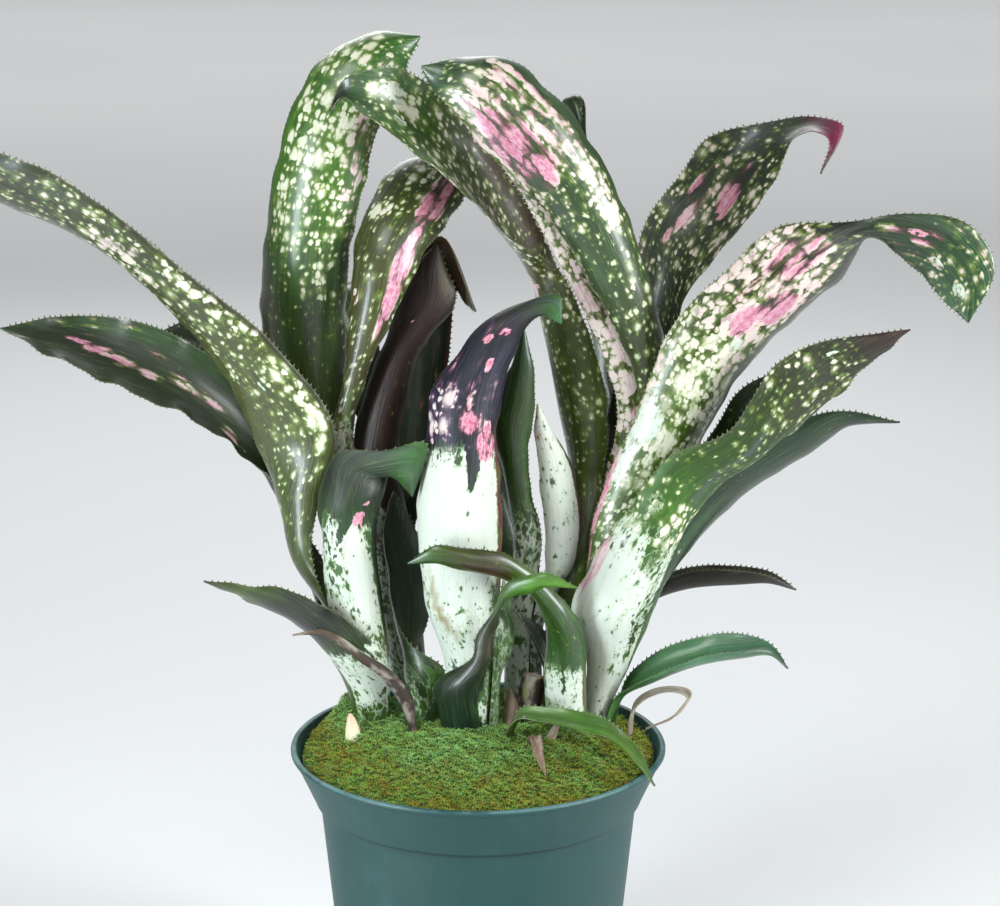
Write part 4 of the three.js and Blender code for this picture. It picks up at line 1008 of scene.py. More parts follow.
# %% Washes of the left shoots
LOOKS = {
    "left_arching_leaf": {
        "ground": [(0, (108, 126, 70)), (0.3, (84, 98, 42)), (0.5, (88, 96, 40)), (0.75, (62, 74, 36)),
                   (1, (40, 58, 36))],
        "cream": [(0, 0.1), (0.3, 0.3), (0.4, 0.5), (0.7, 0.62), (0.8, 0.5), (1, 0.45)],
        "pink": [(0, 0), (0.5, 0.12), (0.75, 0.35), (1, 0.5)],
        "dabs": [("cream", (0.55, 0.7), (0.2, 0.25), 0.9), ("cream", (0.5, -0.8), (0.3, 0.35), 0.22),
                 ("cream", (0.74, 0.1), (0.06, 0.35), 0.85), ("dark", (0.6, 0.97), (0.36, 0.09), 0.85),
                 ("dark", (0.73, 0.45), (0.045, 0.1), 0.6, -8.5),
                 ("white", (0.5, 0.1), (0.012, 0.1), 0.8)]},
    "left_spreading_leaf": {
        "ground": [(0, (100, 120, 70)), (0.4, (60, 80, 34)), (0.55, (34, 54, 22)), (1, (22, 44, 28))],
        "cream": [(0, 0.1), (0.5, 0.16), (1, 0.22)], "pink": [(0, 0.1), (0.5, 0.4), (1, 0.6)],
        "dabs": [("cream", (0.83, -0.02), (0.11, 0.16), 0.95, -3.3),
                 ("pink", (0.83, -0.02), (0.13, 0.3), 1, -3.3),
                 ("cream", (0.6, 0.6), (0.05, 0.3), 0.6), ("pink", (0.62, 0.6), (0.06, 0.35), 0.6),
                 ("cream", (0.7, 0.0), (0.14, 0.35), 0.42), ("pink", (0.7, 0.0), (0.2, 0.6), 0.6),
                 ("ground", (0.75, -0.8), (0.3, 0.3), (40, 78, 34)),
                 ("ground", (0.6, 0.1), (0.08, 0.4), (50, 72, 30))]},
    "tall_left_leaf": {
        "ground": [(0, (90, 104, 50)), (0.45, (70, 84, 40)), (0.6, (70, 98, 44)), (0.8, (82, 128, 44)),
                   (1, (64, 112, 52))],
        "cream": [(0, 0.1), (0.5, 0.18), (0.6, 0.28), (0.68, 0.55), (0.75, 0.72), (0.88, 0.78),
                  (0.95, 0.6), (1, 0.3)],
        "pink": [(0, 0), (0.7, 0.05), (1, 0.15)],
        "dabs": [("dark", (0.65, 0.84), (0.27, 0.12), 0.5), ("cream", (0.6, 1.0), (0.3, 0.16), 0.55),
                 ("pink", (0.84, 0.7), (0.14, 0.35), 0.5), ("cream", (0.6, -0.85), (0.12, 0.3), 0.25),
                 ("ground", (0.57, -0.8), (0.1, 0.4), (88, 86, 48)),
                 ("cream", (0.64, 0.3), (0.04, 0.3), 0.7),
                 ("cream", (0.72, -1.0), (0.26, 0.25), 0.1)]},
    "pink_edged_leaf": {
        "ground": [(0, (120, 130, 90)), (0.45, (116, 122, 88)), (0.6, (84, 82, 36)), (0.8, (76, 82, 34)),
                   (1, (54, 62, 30))],
        "cream": [(0, 0.3), (0.5, 0.6), (0.65, 0.45), (0.8, 0.4), (0.9, 0.5), (1, 0.4)],
        "pink": [(0, 0.3), (0.5, 0.45), (0.7, 0.2), (1, 0.3)],
        "white": [(0, 0.6), (0.35, 0.55), (0.5, 0.6), (0.62, 0.2), (0.7, 0)],
        "dabs": [("cream", (0.745, 0.5), (0.09, 0.3), 0.95), ("pink", (0.745, 0.5), (0.12, 0.3), 1.0),
                 ("cream", (0.885, 0.4), (0.06, 0.3), 0.9), ("pink", (0.885, 0.4), (0.07, 0.35), 1.0),
                 ("cream", (0.84, -0.55), (0.026, 0.3), 1.0), ("cream", (0.92, -0.2), (0.035, 0.4), 0.85),
                 ("cream", (0.7, 0.9), (0.25, 0.2), 0.55), ("white", (0.73, -0.6), (0.01, 0.15), 0.7),
                 ("pink", (0.73, -0.6), (0.03, 0.3), 0.7), ("dark", (0.62, -0.2), (0.09, 0.4), 0.4)]},
    "brown_green_leaf": {
        "ground": [(0, (90, 100, 60)), (0.5, (60, 42, 26)), (0.8, (62, 32, 28)), (1, (66, 46, 36))],
        "cream": [(0, 0), (1, 0.04)], "pink": [(0, 0.4), (1, 0.5)], "dark": [(0, 0.1), (1, 0.25)],
        # painted sheen: a grey-lilac patch of gloss near the tip
        "dabs": [("ground", (0.9, -0.35), (0.06, 0.25), (88, 74, 80)),
                 ("ground", (0.7, -0.85), (0.2, 0.25), (70, 84, 50)),
                 ("cream", (0.72, 0.5), (0.1, 0.3), 0.3),
                 ("ground", (0.95, 0.6), (0.06, 0.3), (96, 90, 66)),
                 ("white", (0.85, -0.1), (0.006, 0.05), 0.9), ("pink", (0.85, -0.1), (0.03, 0.3), 1.0)]},
    "dark_arching_leaf": {
        "ground": [(0, (80, 100, 60)), (0.45, (30, 46, 26)), (0.75, (24, 42, 20)), (0.85, (60, 50, 40)),
                   (0.93, (116, 76, 58)), (1, (40, 30, 38))],
        "cream": [(0, 0.05), (0.8, 0.12), (1, 0)], "pink": [(0, 0.5), (1, 0.8)],
        "dabs": [("ground", (0.65, -0.97), (0.25, 0.12), (120, 62, 78)),
                 ("ground", (0.65, 0.97), (0.25, 0.12), (120, 62, 78))]},
    "left_white_leaf": {
        "ground": [(0, (110, 120, 60)), (0.3, (120, 120, 70)), (0.45, (60, 96, 50)), (0.65, (50, 84, 40)),
                   (0.75, (46, 60, 48)), (0.84, (78, 92, 80)), (0.9, (64, 116, 50)), (1, (60, 90, 60))],
        "cream": [(0, 0), (1, 0.05)],
        "white": [(0, 0.45), (0.3, 0.55), (0.4, 0.66), (0.6, 0.62), (0.66, 0.42), (0.7, 0.2), (0.74, 0)],
        "dabs": [("white", (0.53, 0.12), (0.14, 0.3), 1.0), ("white", (0.55, 0.85), (0.27, 0.36), 0.0),
                 ("ground", (0.6, 0.85), (0.25, 0.38), (24, 46, 26)),
                 ("white", (0.58, -0.5), (0.12, 0.3), 0.62),
                 ("pink", (0.66, 0.15), (0.03, 0.2), 1), ("white", (0.66, 0.15), (0.02, 0.15), 0.8),
                 ("pink", (0.7, 0.25), (0.03, 0.15), 1.0), ("white", (0.7, 0.25), (0.012, 0.07), 0.85),
                 ("dark", (0.73, 0.6), (0.08, 0.3), 0.5), ("dark", (0.14, 0.4), (0.07, 0.8), 0.35)]},
    "left_low_leaf": {
        "ground": [(0, (96, 120, 50)), (0.2, (88, 112, 50)), (0.45, (60, 80, 40)), (0.6, (28, 44, 22)),
                   (0.75, (40, 62, 30)), (0.88, (88, 116, 36)), (1, (60, 60, 30))],
        "cream": [(0, 0), (1, 0.04)],
        "white": [(0, 0.4), (0.2, 0.5), (0.3, 0.72), (0.45, 0.65), (0.52, 0.3), (0.56, 0)],
        "dabs": [("white", (0.3, -0.8), (0.2, 0.4), 0.1), ("dark", (0.3, -0.8), (0.2, 0.4), 0.4),
                 ("white", (0.46, 0.85), (0.04, 0.2), 0.6), ("dark", (0.65, -0.2), (0.12, 0.6), 0.5),
                 ("dark", (0.1, -0.2), (0.07, 0.8), 0.45)]},
}
print("painted leaves so far:", len(LOOKS))

# %% Washes of the middle shoots
LOOKS |= {
    "white_plum_leaf": {
        "ground": [(0, (110, 140, 90)), (0.3, (104, 136, 84)), (0.55, (60, 70, 60)), (0.64, (24, 30, 46)),
                   (0.8, (27, 32, 56)), (0.88, (42, 34, 42)), (0.93, (60, 80, 50)), (1, (70, 130, 64))],
        "cream": [(0, 0), (0.6, 0.2), (0.66, 0.5), (0.76, 0.42), (0.82, 0.2), (0.9, 0.1), (1, 0)],
        "pink": [(0, 0), (0.55, 0), (0.6, 0.2), (0.66, 0.5), (0.75, 0.5), (1, 0.8)],
        "white": [(0, 0.5), (0.1, 0.55), (0.2, 0.7), (0.4, 0.8), (0.5, 1), (0.565, 1), (0.6, 0.76),
                  (0.635, 0.5),
                  (0.67, 0.15), (0.7, 0)],
        "dabs": [("white", (0.6, 0.22), (0.06, 0.1), 0.0), ("white", (0.33, 0.7), (0.1, 0.3), 0.5),
                 ("white", (0.15, 0.5), (0.1, 0.5), 0.5), ("white", (0.5, 0.9), (0.2, 0.26), 0.4),
                 ("ground", (0.5, 0.9), (0.2, 0.3), (124, 66, 62)),
                 ("dark", (0.335, -0.3), (0.09, 0.1), 0.75, -3),
                 ("dark", (0.12, -0.5), (0.06, 0.5), 0.25),
                 ("pink", (0.635, 0.5), (0.04, 0.35), 1), ("cream", (0.64, 0.5), (0.036, 0.34), 1.0),
                 ("pink", (0.675, 0.12), (0.035, 0.3), 1), ("cream", (0.675, 0.12), (0.024, 0.3), 1.0),
                 ("pink", (0.785, 0.25), (0.04, 0.2), 1), ("white", (0.785, 0.25), (0.024, 0.16), 0.78),
                 ("pink", (0.838, -0.15), (0.03, 0.2), 1), ("white", (0.838, -0.15), (0.015, 0.2), 0.82),
                 ("pink", (0.853, 0.22), (0.03, 0.25), 1), ("white", (0.853, 0.22), (0.015, 0.22), 0.82),
                 ("cream", (0.7, -0.4), (0.055, 0.5), 0.72), ("pink", (0.7, -0.6), (0.05, 0.4), 0.25),
                 ("cream", (0.66, -0.6), (0.02, 0.3), 0.85)]},
    "dark_front_leaf": {
        **BARE,
        "ground": [(0, (60, 80, 60)), (0.2, (42, 66, 54)), (0.4, (48, 62, 48)), (0.5, (60, 58, 40)),
                   (0.62, (58, 62, 42)), (0.72, (78, 104, 64)), (0.82, (92, 140, 50)),
                   (1, (110, 150, 70))],
        "dabs": [("white", (0.25, 0.85), (0.08, 0.25), 0.6)]},
    "mottled_sheath_leaf": {"ground": [(0, (84, 116, 70)), (1, (70, 104, 62))],
                            "white": [(0, 0.5), (1, 0.5)]},
    "middle_rear_leaf": {"ground": [(0, (84, 116, 70)), (0.6, (56, 84, 40)), (1, (48, 70, 36))],
                         "white": [(0, 0.6), (0.6, 0.6), (0.8, 0.2), (1, 0)]},
    "green_tipped_leaf": {
        "ground": [(0, (110, 140, 90)), (0.5, (80, 104, 60)), (0.7, (58, 90, 30)), (0.9, (60, 88, 34)),
                   (1, (70, 106, 90))],
        "cream": [(0, 0), (1, 0.05)],
        "white": [(0, 0.3), (0.1, 0.7), (0.35, 0.7), (0.5, 0.6), (0.62, 0.4), (0.7, 0)],
        "dabs": [("dark", (0.7, -0.8), (0.3, 0.35), 0.5)]},
    "white_mottled_leaf": {
        "ground": [(0, (96, 124, 70)), (1, (74, 104, 56))],
        "white": [(0, 0.5), (0.2, 0.55), (0.5, 0.75), (0.95, 0.78), (1, 0.7)],
        "dabs": [("ground", (0.72, 0.85), (0.28, 0.3), (112, 72, 86)),
                 ("white", (0.72, 0.88), (0.28, 0.25), 0.25)]},
}
print("painted leaves so far:", len(LOOKS))

# %% Washes of the rear right shoot
LOOKS |= {
    "arching_left_leaf": {
        "ground": [(0, (100, 120, 60)), (0.35, (92, 108, 40)), (0.5, (82, 102, 36)), (0.62, (80, 76, 34)),
                   (0.75, (74, 84, 32)), (0.85, (72, 112, 40)), (0.95, (50, 98, 56)), (1, (34, 42, 40))],
        "cream": [(0, 0.1), (0.3, 0.35), (0.5, 0.5), (0.6, 0.6), (0.8, 0.62), (0.93, 0.55), (0.96, 0.2),
                  (1, 0)],
        "pink": [(0, 0), (0.5, 0), (0.6, 0.35), (0.75, 0.3), (0.85, 0.05), (1, 0)],
        "white": [(0, 0.3), (0.15, 0.2), (0.25, 0)],
        "dabs": [("white", (0.9, -0.35), (0.03, 0.36), 0.66), ("cream", (0.9, -0.3), (0.05, 0.5), 0.95),
                 ("white", (0.885, 0.25), (0.018, 0.18), 0.6),
                 # painted shade: the inside of the channel under the great arching leaf, brown-orange and
                 # darker
                 ("ground", (0.68, -0.75), (0.12, 0.4), (84, 44, 8)),
                 ("dark", (0.68, -0.85), (0.12, 0.3), 0.12),
                 ("cream", (0.68, -0.7), (0.1, 0.35), 0.35), ("white", (0.6, 0.0), (0.025, 0.6), 0.6),
                 ("pink", (0.6, 0), (0.05, 0.9), 0.6),
                 ("ground", (1.0, 0.0), (0.045, 1.8), (22, 14, 30))]},
    "great_arching_leaf": {
        "ground": [(0, (90, 104, 50)), (0.5, (72, 76, 34)), (0.65, (66, 92, 50)), (0.8, (60, 88, 50)),
                   (1, (56, 98, 62))],
        "cream": [(0, 0.3), (0.5, 0.45), (0.6, 0.6), (0.7, 0.55), (0.8, 0.75), (0.92, 0.88), (0.97, 0.5),
                  (1, 0.2)],
        "pink": [(0, 0.1), (0.6, 0.1), (0.75, 0.3), (0.8, 0.5), (0.92, 0.5), (0.96, 0.15), (1, 0)],
        "dabs": [("pink", (0.84, -0.45), (0.07, 0.45), 0.95), ("cream", (0.84, -0.45), (0.07, 0.4), 0.95),
                 ("cream", (0.8, 0.97), (0.36, 0.28), 0.06), ("dark", (0.65, -0.97), (0.16, 0.15), 0.5),
                 ("cream", (0.65, -0.6), (0.08, 0.3), 0.35), ("cream", (0.73, 0.35), (0.05, 0.32), 1.0),
                 ("pink", (0.73, 0.35), (0.06, 0.35), 0.3)]},
    "pink_strip_leaf": {
        "ground": [(0, (90, 104, 50)), (1, (74, 84, 42))], "cream": [(0, 0.8), (1, 1.0)],
        "pink": [(0, 0.35), (1, 0.45)],
        "white": [(0, 0.3), (0.45, 0.3), (0.6, 0.3), (0.8, 0.2), (0.95, 0.1)]},
    "right_rear_leaf": {
        "ground": [(0, (70, 84, 50)), (0.55, (40, 52, 34)), (0.7, (34, 50, 36)), (0.88, (30, 40, 34)),
                   (0.91, (112, 16, 76)),
                   (0.95, (182, 18, 122)), (0.985, (124, 18, 90)), (1, (50, 50, 70))],
        "cream": [(0, 0.2), (0.55, 0.3), (0.65, 0.6), (0.8, 0.62), (0.87, 0.35), (0.9, 0), (1, 0)],
        "pink": [(0, 0.3), (0.6, 0.35), (0.85, 0.4)],
        "dabs": [("cream", (0.75, -0.15), (0.03, 0.2), 0.95), ("pink", (0.76, -0.15), (0.05, 0.3), 0.8),
                 ("pink", (0.7, 0.5), (0.07, 0.3), 0.7)]},
}
print("painted leaves so far:", len(LOOKS))

# %% Washes of the right shoot
LOOKS |= {
    "great_spotted_leaf": {
        "ground": [(0, (120, 140, 90)), (0.3, (90, 112, 50)), (0.5, (84, 104, 42)), (0.68, (56, 60, 38)),
                   (0.78, (34, 40, 34)), (0.85, (46, 78, 52)), (1, (60, 108, 68))],
        "cream": [(0, 0.4), (0.25, 0.7), (0.4, 0.85), (0.6, 0.9), (0.72, 0.85), (0.78, 0.5), (0.8, 0.3),
                  (0.85, 0.45),
                  (0.97, 0.55), (1, 0.3)],
        "pink": [(0, 0.1), (0.4, 0.05), (0.55, 0.2), (0.65, 0.45), (0.76, 0.45), (0.85, 0.6), (0.95, 0.3),
                 (1, 0)],
        "white": [(0, 0.6), (0.2, 0.5), (0.3, 0.45), (0.45, 0.4), (0.6, 0.34), (0.7, 0.28), (0.76, 0)],
        "dabs": [("cream", (0.55, 0.85), (0.2, 0.38), 0.2), ("white", (0.5, 0.85), (0.3, 0.45), 0.0),
                 ("white", (0.42, -0.8), (0.08, 0.22), 0.72), ("pink", (0.42, -0.85), (0.16, 0.3), 0.4),
                 ("pink", (0.3, -0.97), (0.12, 0.13), 0.8), ("white", (0.45, -0.6), (0.025, 0.2), 0.9),
                 ("pink", (0.62, -0.1), (0.03, 0.25), 0.9), ("cream", (0.62, -0.12), (0.03, 0.3), 1.0),
                 ("pink", (0.655, 0.22), (0.03, 0.25), 1), ("cream", (0.65, 0.25), (0.03, 0.3), 1.0),
                 ("white", (0.59, 0.1), (0.012, 0.12), 0.9), ("pink", (0.72, -0.3), (0.05, 0.4), 0.7),
                 ("cream", (0.72, 0.8), (0.08, 0.3), 0.35), ("dark", (0.79, -0.2), (0.015, 1.0), 0.4),
                 ("pink", (0.865, -0.2), (0.04, 0.4), 0.9), ("white", (0.86, -0.2), (0.02, 0.24), 0.66),
                 ("white", (0.905, 0.4), (0.018, 0.2), 0.68),
                 ("white", (0.955, 0.35), (0.02, 0.3), 0.68)]},
    "right_sheath_leaf": {
        "ground": [(0, (130, 150, 90)), (0.15, (90, 120, 70)), (0.35, (50, 88, 50)), (0.5, (78, 122, 44)),
                   (0.62, (68, 98, 42)), (0.75, (68, 82, 42)), (0.9, (52, 48, 34)), (0.96, (70, 48, 44)),
                   (1, (84, 56, 58))],
        "cream": [(0, 0), (0.36, 0.3), (0.46, 0.85), (0.51, 0.6), (0.56, 0.25), (0.65, 0.4), (0.8, 0.55),
                  (0.88, 0.5), (0.93, 0.1), (1, 0)],
        "pink": [(0, 0), (0.5, 0.05), (0.8, 0.25), (1, 0.4)],
        "white": [(0, 0.55), (0.08, 0.8), (0.35, 0.85), (0.42, 0.65), (0.46, 0.45), (0.5, 0.2),
                  (0.55, 0)],
        "dabs": [("white", (0.3, 0.85), (0.22, 0.4), 0.1), ("white", (0.1, 0.9), (0.08, 0.3), 0.5),
                 ("white", (0.3, 0.35), (0.14, 0.2), 0.55), ("white", (0.43, 0.0), (0.06, 0.35), 0.5),
                 ("pink", (0.36, -0.9), (0.08, 0.25), 0.6),
                 ("ground", (0.62, -0.05), (0.14, 0.14), (92, 106, 100), -2.5),
                 ("white", (0.49, -0.6), (0.03, 0.3), 0.5),
                 ("ground", (0.66, 0.45), (0.08, 0.4), (40, 92, 40)),
                 ("white", (0.87, -0.5), (0.018, 0.12), 0.7)]},
    "emerald_leaf": {
        "ground": [(0, (100, 130, 80)), (0.35, (50, 90, 50)), (0.45, (22, 70, 32)), (0.9, (20, 66, 30)),
                   (1, (20, 50, 30))],
        "cream": [(0, 0), (1, 0.06)], "dark": [(0, 0), (1, 0)],
        "dabs": [("white", (0.462, -0.05), (0.01, 0.08), 0.9),
                 ("ground", (0.52, -0.1), (0.08, 0.2), (54, 98, 48))]},
    "right_low_leaf": {
        **BARE,
        "ground": [(0, (130, 170, 90)), (0.15, (110, 150, 90)), (0.3, (76, 128, 76)),
                   (0.6, (80, 136, 100)),
                   (0.9, (66, 118, 92)), (1, (30, 50, 44))],
        "white": [(0, 0.2), (0.15, 0.3), (0.25, 0)]},
    "right_short_leaf": {
        **BARE,
        "ground": [(0, (70, 84, 50)), (0.5, (40, 44, 30)), (0.65, (50, 42, 32)), (0.9, (66, 58, 50)),
                   (1, (96, 100, 104))],
        "dark": [(0, 0.1), (1, 0.2)]},
}
print("painted leaves so far:", len(LOOKS))

# %% Washes of the leaves at the front, and of the litter
LOOKS |= {
    "pup_leaf": {
        "ground": [(0, (110, 120, 60)), (0.2, (96, 120, 64)), (0.35, (58, 100, 44)), (0.55, (60, 94, 36)),
                   (0.64, (88, 126, 44)), (0.75, (72, 74, 34)), (0.85, (80, 84, 44)),
                   (0.93, (80, 116, 44)), (1, (70, 106, 60))],
        "cream": [(0, 0), (0.4, 0.15), (0.6, 0.05), (1, 0)], "pink": [(0, 0), (1, 0)],
        "white": [(0, 0.3), (0.15, 0.5), (0.2, 0.7), (0.3, 0.66), (0.36, 0.4), (0.42, 0)],
        "dabs": [("white", (0.25, 0.75), (0.12, 0.35), 0.1),
                 ("ground", (0.25, 0.75), (0.12, 0.35), (140, 122, 80)),
                 ("dark", (0.45, -0.85), (0.2, 0.3), 0.5),
                 ("ground", (0.77, -0.4), (0.1, 0.5), (84, 58, 36)),
                 ("white", (0.5, 0.7), (0.05, 0.2), 0.45)]},
    "pup_inner_leaf": {"ground": [(0, (60, 80, 60)), (1, (44, 60, 60))], **BARE},
    "glossy_dark_leaf": {
        "ground": [(0, (110, 140, 90)), (0.2, (90, 120, 80)), (0.35, (50, 84, 32)), (0.6, (24, 52, 32)),
                   (0.8, (22, 54, 42)), (1, (30, 50, 40))],
        "cream": [(0, 0), (1, 0.05)],
        "white": [(0, 0.3), (0.15, 0.45), (0.25, 0.52), (0.4, 0.45), (0.46, 0)]},
    "trailing_front_leaf": {
        **BARE,
        "ground": [(0, (64, 64, 34)), (0.2, (80, 80, 36)), (0.35, (96, 134, 58)), (0.6, (100, 148, 54)),
                   (0.8, (110, 148, 50)), (1, (80, 118, 78))]},
    "left_dry_leaf": {**BARE, "ground": [(0, (84, 66, 52)), (0.5, (62, 50, 40)), (1, (116, 100, 82))]},
    "right_dry_leaf": {**BARE,
                       "ground": [(0, (150, 138, 120)), (0.5, (176, 168, 152)), (1, (140, 126, 110))]},
    "brown_dry_leaf": {**BARE, "ground": [(0, (70, 48, 32)), (0.6, (58, 38, 26)), (1, (120, 96, 50))],
                       "dabs": [("ground", (0.6, -0.3), (0.12, 0.3), (150, 152, 110))]},
    "tan_bract": {**BARE, "ground": [(0, (122, 100, 86)), (1, (150, 132, 116))]},
    "papery_scale": {**BARE, "ground": [(0, (150, 124, 110)), (1, (176, 152, 138))]},
    "dry_strip": {**BARE, "ground": [(0, (120, 96, 82)), (1, (158, 132, 116))]},
}


# %% Washes into numbers
GROUND_DEPTH, DAB_SOFTNESS = 1.28, 1.5
WASHES = ("cream", "pink", "white", "dark")


def wash(stops, along):
    """The amount, or the colour, of a wash at each place along the leaf."""
    places, values = zip(*stops)
    values = np.array(values, float)
    if values.ndim == 1:
        return np.interp(along, places, values)
    return np.stack([np.interp(along, places, values[:, k]) for k in range(3)], -1)


def dab(along, across, place, size, turn=0.0):
    """An oval patch, 1 in its middle and 0 outside, by shares of the leaf's length and half width."""
    u, v = (along - place[0]) / size[0], (across - place[1] - turn * (along - place[0])) / size[1]
    return np.clip(DAB_SOFTNESS * (1 - u * u - v * v), 0, 1)


def painted(name, along, across):
    """The ground colour and the four washes at every point of a leaf."""
    look = {**PLAIN, **LOOKS.get(name, {})}
    ground = wash([(a, linear(*c)) for a, c in look["ground"]], along)
    fields = {kind: wash(look[kind], along) for kind in WASHES}
    for kind, place, size, amount, *turn in look["dabs"]:
        patch = dab(along, across, place, size, *turn)
        if kind in fields:
            fields[kind] = fields[kind] * (1 - patch) + amount * patch
        else:
            tint = np.array(linear(*amount))
            ground = ground * (1 - patch[..., None]) + tint * patch[..., None]
    return ground ** GROUND_DEPTH, np.stack([fields[kind] for kind in WASHES], -1)


print("painted leaves:", len(LOOKS))

# %% [markdown]
# ## One leaf
#
# A flat grid is added with enough rows for a smooth curve, and every point is laid on the blade's
# surface. A Solidify modifier then gives it a millimetre of flesh that thins to a soft edge at
# the margins. The spines on the margins are one small thorn, copied every few millimetres and
# leaning to the tip; sheaths and dry leaves have none.

# %% Laying a grid on the blade
ROW_SPACING, FEWEST_ROWS = 1.9, 12
TIP_CROWDING, TIP_GAP, MARGIN_CROWDING = 1.04, 0.4, 1.35


def rows_along(blade):
    """Distances along a leaf, a little closer together near its tip."""
    count = max(FEWEST_ROWS, round(blade.length / ROW_SPACING))
    even = np.linspace(0, 1, count + 1)
    return blade.length * (1 - (1 - even) ** TIP_CROWDING) * (1 - TIP_GAP / blade.length)


def places_across(columns):
    """Places from -1 to 1 across a leaf, closer together near its margins."""
    return np.sin(np.linspace(-1, 1, columns + 1) * MARGIN_CROWDING) / math.sin(MARGIN_CROWDING)


def leaf_grid(name, blade, columns):
    """A grid laid on the blade, with its points, their normals and their places on the leaf."""
    distances, v = rows_along(blade), places_across(columns)
    deselect()
    bpy.ops.mesh.primitive_grid_add(x_subdivisions=columns, y_subdivisions=len(distances) - 1, size=1)
    leaf = bpy.context.object
    leaf.name = name.replace("_leaf", "") + "_blade"
    points, normals = blade.points(distances, v)
    leaf.data.vertices.foreach_set("co", (points * MM).reshape(-1))
    along = np.repeat(distances / blade.length, len(v))
    across = np.tile(v, len(distances))
    return leaf, points.reshape(-1, 3), normals.reshape(-1, 3), along, across


print("longest leaf, rows:", max(len(rows_along(blade)) for blade in blades.values()))

# %% Painting kept on the points
PATTERN_STEP = 0.013


def write_attributes(mesh, name, blade, along, across, inner):
    """Keeps the painting and the place on the leaf with the mesh, point by point."""
    ground, fields = painted(name, along, across)
    layers = {"ground": np.concatenate([ground, np.ones((len(along), 1))], 1), "washes": fields,
              "place": np.stack([along, across, inner, np.ones_like(along)], 1)}
    for key, values in layers.items():
        layer = mesh.attributes.new(key, "FLOAT_COLOR", "POINT")
        layer.data.foreach_set("color", np.ascontiguousarray(values, float).reshape(-1))
    half_width = blade.widths(along * blade.length) / 2
    flat = np.stack([along * blade.length, across * half_width], 1) * MM
    corners = np.empty(len(mesh.loops), int)
    mesh.loops.foreach_get("vertex_index", corners)
    lengths = mesh.uv_layers.new(name="lengths")
    shift = name_number(name, 97) * PATTERN_STEP
    lengths.data.foreach_set("uv", (flat[corners] + (shift, shift * 0.7)).reshape(-1))


# %% Spines
SPINE_SPACING, SPINE_HEIGHT, SPINE_BASE = 2.4, 1.1, 1.3
SPINE_ROOT, SPINE_THICKNESS, SPINE_LEAN = 0.35, 0.2, 0.7
BARE_START, BARE_TIP = 8, 3
SPINE_FACES = ((0, 1, 4), (1, 2, 4), (2, 3, 4), (3, 0, 4), (3, 2, 1, 0))


def spines(blade):
    """Small thorns along both margins: points, faces and their places on the leaf."""
    points, faces, places = [], [], []
    distances = np.arange(blade.sheath + BARE_START, blade.length - BARE_TIP, SPINE_SPACING)
    if not len(distances):
        return points, faces, places
    along, across, out, half, _, _ = blade.frame(distances)
    for side in (-1, 1):
        margin, normal = blade.points(distances, np.array([float(side)]))
        outward = across * side * np.cos(half)[:, None] - out * np.sin(half)[:, None]
        for k, distance in enumerate(distances):
            edge, up, away, way = margin[k, 0], normal[k, 0] * SPINE_THICKNESS, outward[k], along[k]
            tall = SPINE_HEIGHT * (0.75 + 0.5 * ((k * 7) % 5) / 5)
            root, reach = edge - away * SPINE_ROOT, way * SPINE_BASE / 2
            tip = edge + away * tall + way * SPINE_LEAN
            faces += [[len(points) + corner for corner in face[::side]] for face in SPINE_FACES]
            points += [root - reach, root + up, root + reach, root - up, tip]
            places += [(distance / blade.length, side)] * 4 + [(distance / blade.length, side * 1.2)]
    return points, faces, places


print("spines on the longest leaf:", max(len(spines(blade)[0]) for blade in blades.values()) // 5)

# %% [markdown]
# ## Building all the leaves
#
# The grid is thickened, its painting and place are written on its points, and its spines are
# joined on. Every leaf stands for its own CAD node.

# %% Thicken and join
FLESH, MARGIN_FLESH, FLESH_SQUARENESS = 1.0, 0.22, 4
MANY_COLUMNS, FEW_COLUMNS = 28, 14
WIDE_WRAP, WIDE_BLADE, WIDTH_PLACE = 100, 18, 0.6


def columns_across(blade, wrap):
    """More columns where the sheath wraps far round its shoot or the blade is wide."""
    width = blade.widths(np.array([blade.length * WIDTH_PLACE]))[0]
    return MANY_COLUMNS if wrap > WIDE_WRAP or width > WIDE_BLADE else FEW_COLUMNS


def thicken(leaf, count, columns):
    """Gives a leaf its flesh, which thins out at the margins."""
    group = leaf.vertex_groups.new(name="flesh")
    fullness = np.sqrt(np.clip(1 - np.abs(places_across(columns)) ** FLESH_SQUARENESS, 0, 1))
    for column, share in enumerate(MARGIN_FLESH + (1 - MARGIN_FLESH) * fullness):
        group.add(list(range(column, count, columns + 1)), float(share), "REPLACE")
    apply_modifier(leaf, "SOLIDIFY", thickness=FLESH * MM, offset=0.0, vertex_group="flesh", use_rim=True)


def inner_side(mesh, points, normals):
    """1 on the leaf's inner side and 0 on its back. Solidify keeps the two sides in this order."""
    first_side = np.array([v.co for v in mesh.vertices[:len(points)]]) / MM
    is_back = np.einsum("ij,ij->i", first_side - points, normals) > 0
    return np.concatenate([~is_back, is_back]).astype(float)


def join_spines(leaf, points, faces):
    mesh = bpy.data.meshes.new(leaf.name)
    leaf_points = [tuple(v.co) for v in leaf.data.vertices]
    leaf_faces = [list(p.vertices) for p in leaf.data.polygons]
    spine_faces = [[len(leaf_points) + corner for corner in face] for face in faces]
    mesh.from_pydata(leaf_points + (np.array(points) * MM).tolist(), [], leaf_faces + spine_faces)
    leaf.data = mesh


